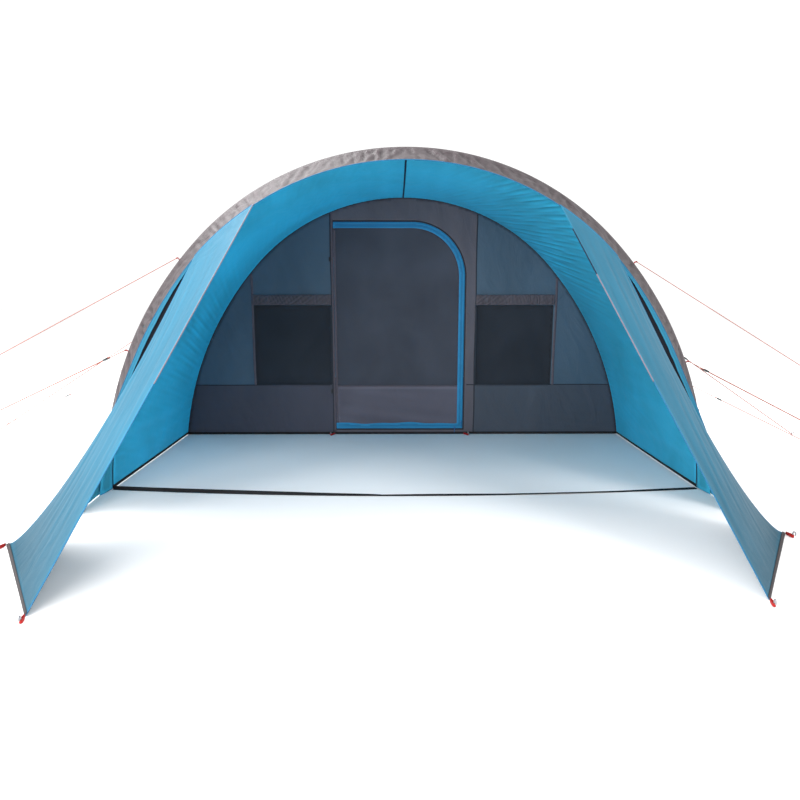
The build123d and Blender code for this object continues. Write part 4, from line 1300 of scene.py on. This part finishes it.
def rope_route(arch, hand, height, peg, runner_at):
    """The line's corners: down from its tab, round the peg and back up to the runner."""
    angle = hand * arch.foot_angle(POLE_OUT, height)
    centre = Vector(arch.at(angle, POLE_OUT))
    outward = (Vector(arch.at(angle, POLE_OUT + 0.001)) - centre).normalized()
    peg_point = Vector((peg[0], FRONT_Y + peg[1], ROPE_END_HEIGHT))
    tied = centre + outward * KNOT_OUT
    line = (peg_point - tied).normalized()
    across = line.cross(Vector((0, 0, 1))).normalized()
    start = tied + line * KNOT_LENGTH
    first = peg_point + line * ROPE_TURN + across * (ROPE_SPACING / 2)
    run = (first - start).normalized()
    second = first - across * ROPE_SPACING
    end = second - run * ((first - start).length - runner_at)
    return start, first, second, end, run


def knot_coil(centre, along):
    """A wrapped knot: three and a half turns of line round the line."""
    side = along.orthogonal().normalized()
    up = along.cross(side)
    turns = np.linspace(0, 3.5 * 2 * math.pi, 71)
    path = [centre + along * (KNOT_LENGTH * (t / turns[-1] - 0.5) * 0.72)
            + (side * math.cos(t) + up * math.sin(t)) * KNOT_RADIUS for t in turns]
    path = np.array([tuple(p) for p in path])
    return path, across_of(path, np.array(along))


def rope_curve(name, points):
    """A round line that follows its points and rounds off its corners."""
    data = bpy.data.curves.new(name, "CURVE")
    data.dimensions = "3D"
    data.bevel_depth = ROPE / 2
    data.bevel_resolution = 3
    data.use_fill_caps = True
    data.resolution_u = 8
    spline = data.splines.new("NURBS")
    spline.points.add(len(points) - 1)
    for point, place in zip(spline.points, points):
        point.co = (*place, 1.0)
    spline.order_u = 3
    spline.use_endpoint_u = True
    data.materials.append(ROPE_BRAID)
    rope = bpy.data.objects.new(name, data)
    scene.collection.objects.link(rope)
    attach(rope, "tent")
    return rope


def make_guys():
    for name, arch, hand, height, peg, runner_at in GUYS:
        start, first, second, end, run = rope_route(arch, hand, height, peg, runner_at)
        near = run * (6 * ROPE)
        rope = rope_curve(f"rope_{name}", [start, first - near, first, second, second - near, end])
        stand_in(rope, f"guy_line_{name}")
        parts = []
        for place in (start - run * (KNOT_LENGTH / 2), end - run * (KNOT_LENGTH / 2)):
            path, normals = knot_coil(place, run)
            tape("knot", path, normals, 0.0032, 0.0032, None, extra=parts)
        knots = joined(f"knots_{name}", parts, ROPE_BRAID)
        if name == "front_upper_left":
            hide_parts("guy_knots")


# ---- Hard parts ----
HARD = {
    "pole_front": FIBREGLASS, "pole_middle": FIBREGLASS, "pole_rear": FIBREGLASS, "pole_ferrules": STEEL,
    "pole_pins": STEEL, "shock_cords": ELASTIC, "hem_pegs": STEEL, "guy_pegs": STEEL,
    "door_toggles": BLACK_PLASTIC, "door_zip_tape": ZIP_TAPE, "zip_slider_side": BLUE_PAINT,
    "zip_slider_bottom": BLUE_PAINT, "zip_pull_side": BLUE_PAINT, "zip_pull_bottom": BLUE_PAINT,
}


def paint_hard_parts():
    for name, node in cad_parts.items():
        material = BLACK_PLASTIC if name.startswith("guy_runner_") else HARD.get(name)
        if material:
            for slot in node.material_slots:
                slot.material = material


# ---- Build ----
make_camera()
make_studio()
make_guys()
porch, porch_normals = make_fly("porch_fly", FRONT, MIDDLE, BLUE, 0.022, 31, porch_wrinkles, rows=781)
cabin, _ = make_fly("cabin_fly", MIDDLE, REAR, GRAY, 0.024, 41, lambda along: 0.5)
tail, _ = make_fly("tail_fly", REAR, TAIL, BLUE, 0.012, 51, lambda along: 0.3)
make_fly_details(porch, porch_normals)
ground_hems(cabin, "cabin_fly")
ground_hems(tail, "tail_fly")
make_hood()
for hand in (-1, 1):
    make_wing(hand)
make_sleeve("front", FRONT, GRAY)
make_sleeve("middle", MIDDLE, SLEEVE_BLACK)
make_sleeve("rear", REAR, SLEEVE_BLACK)
make_wall()
make_windows()
make_door()
make_loops()
make_strap()
make_groundsheet()
make_tail_panel()
paint_hard_parts()
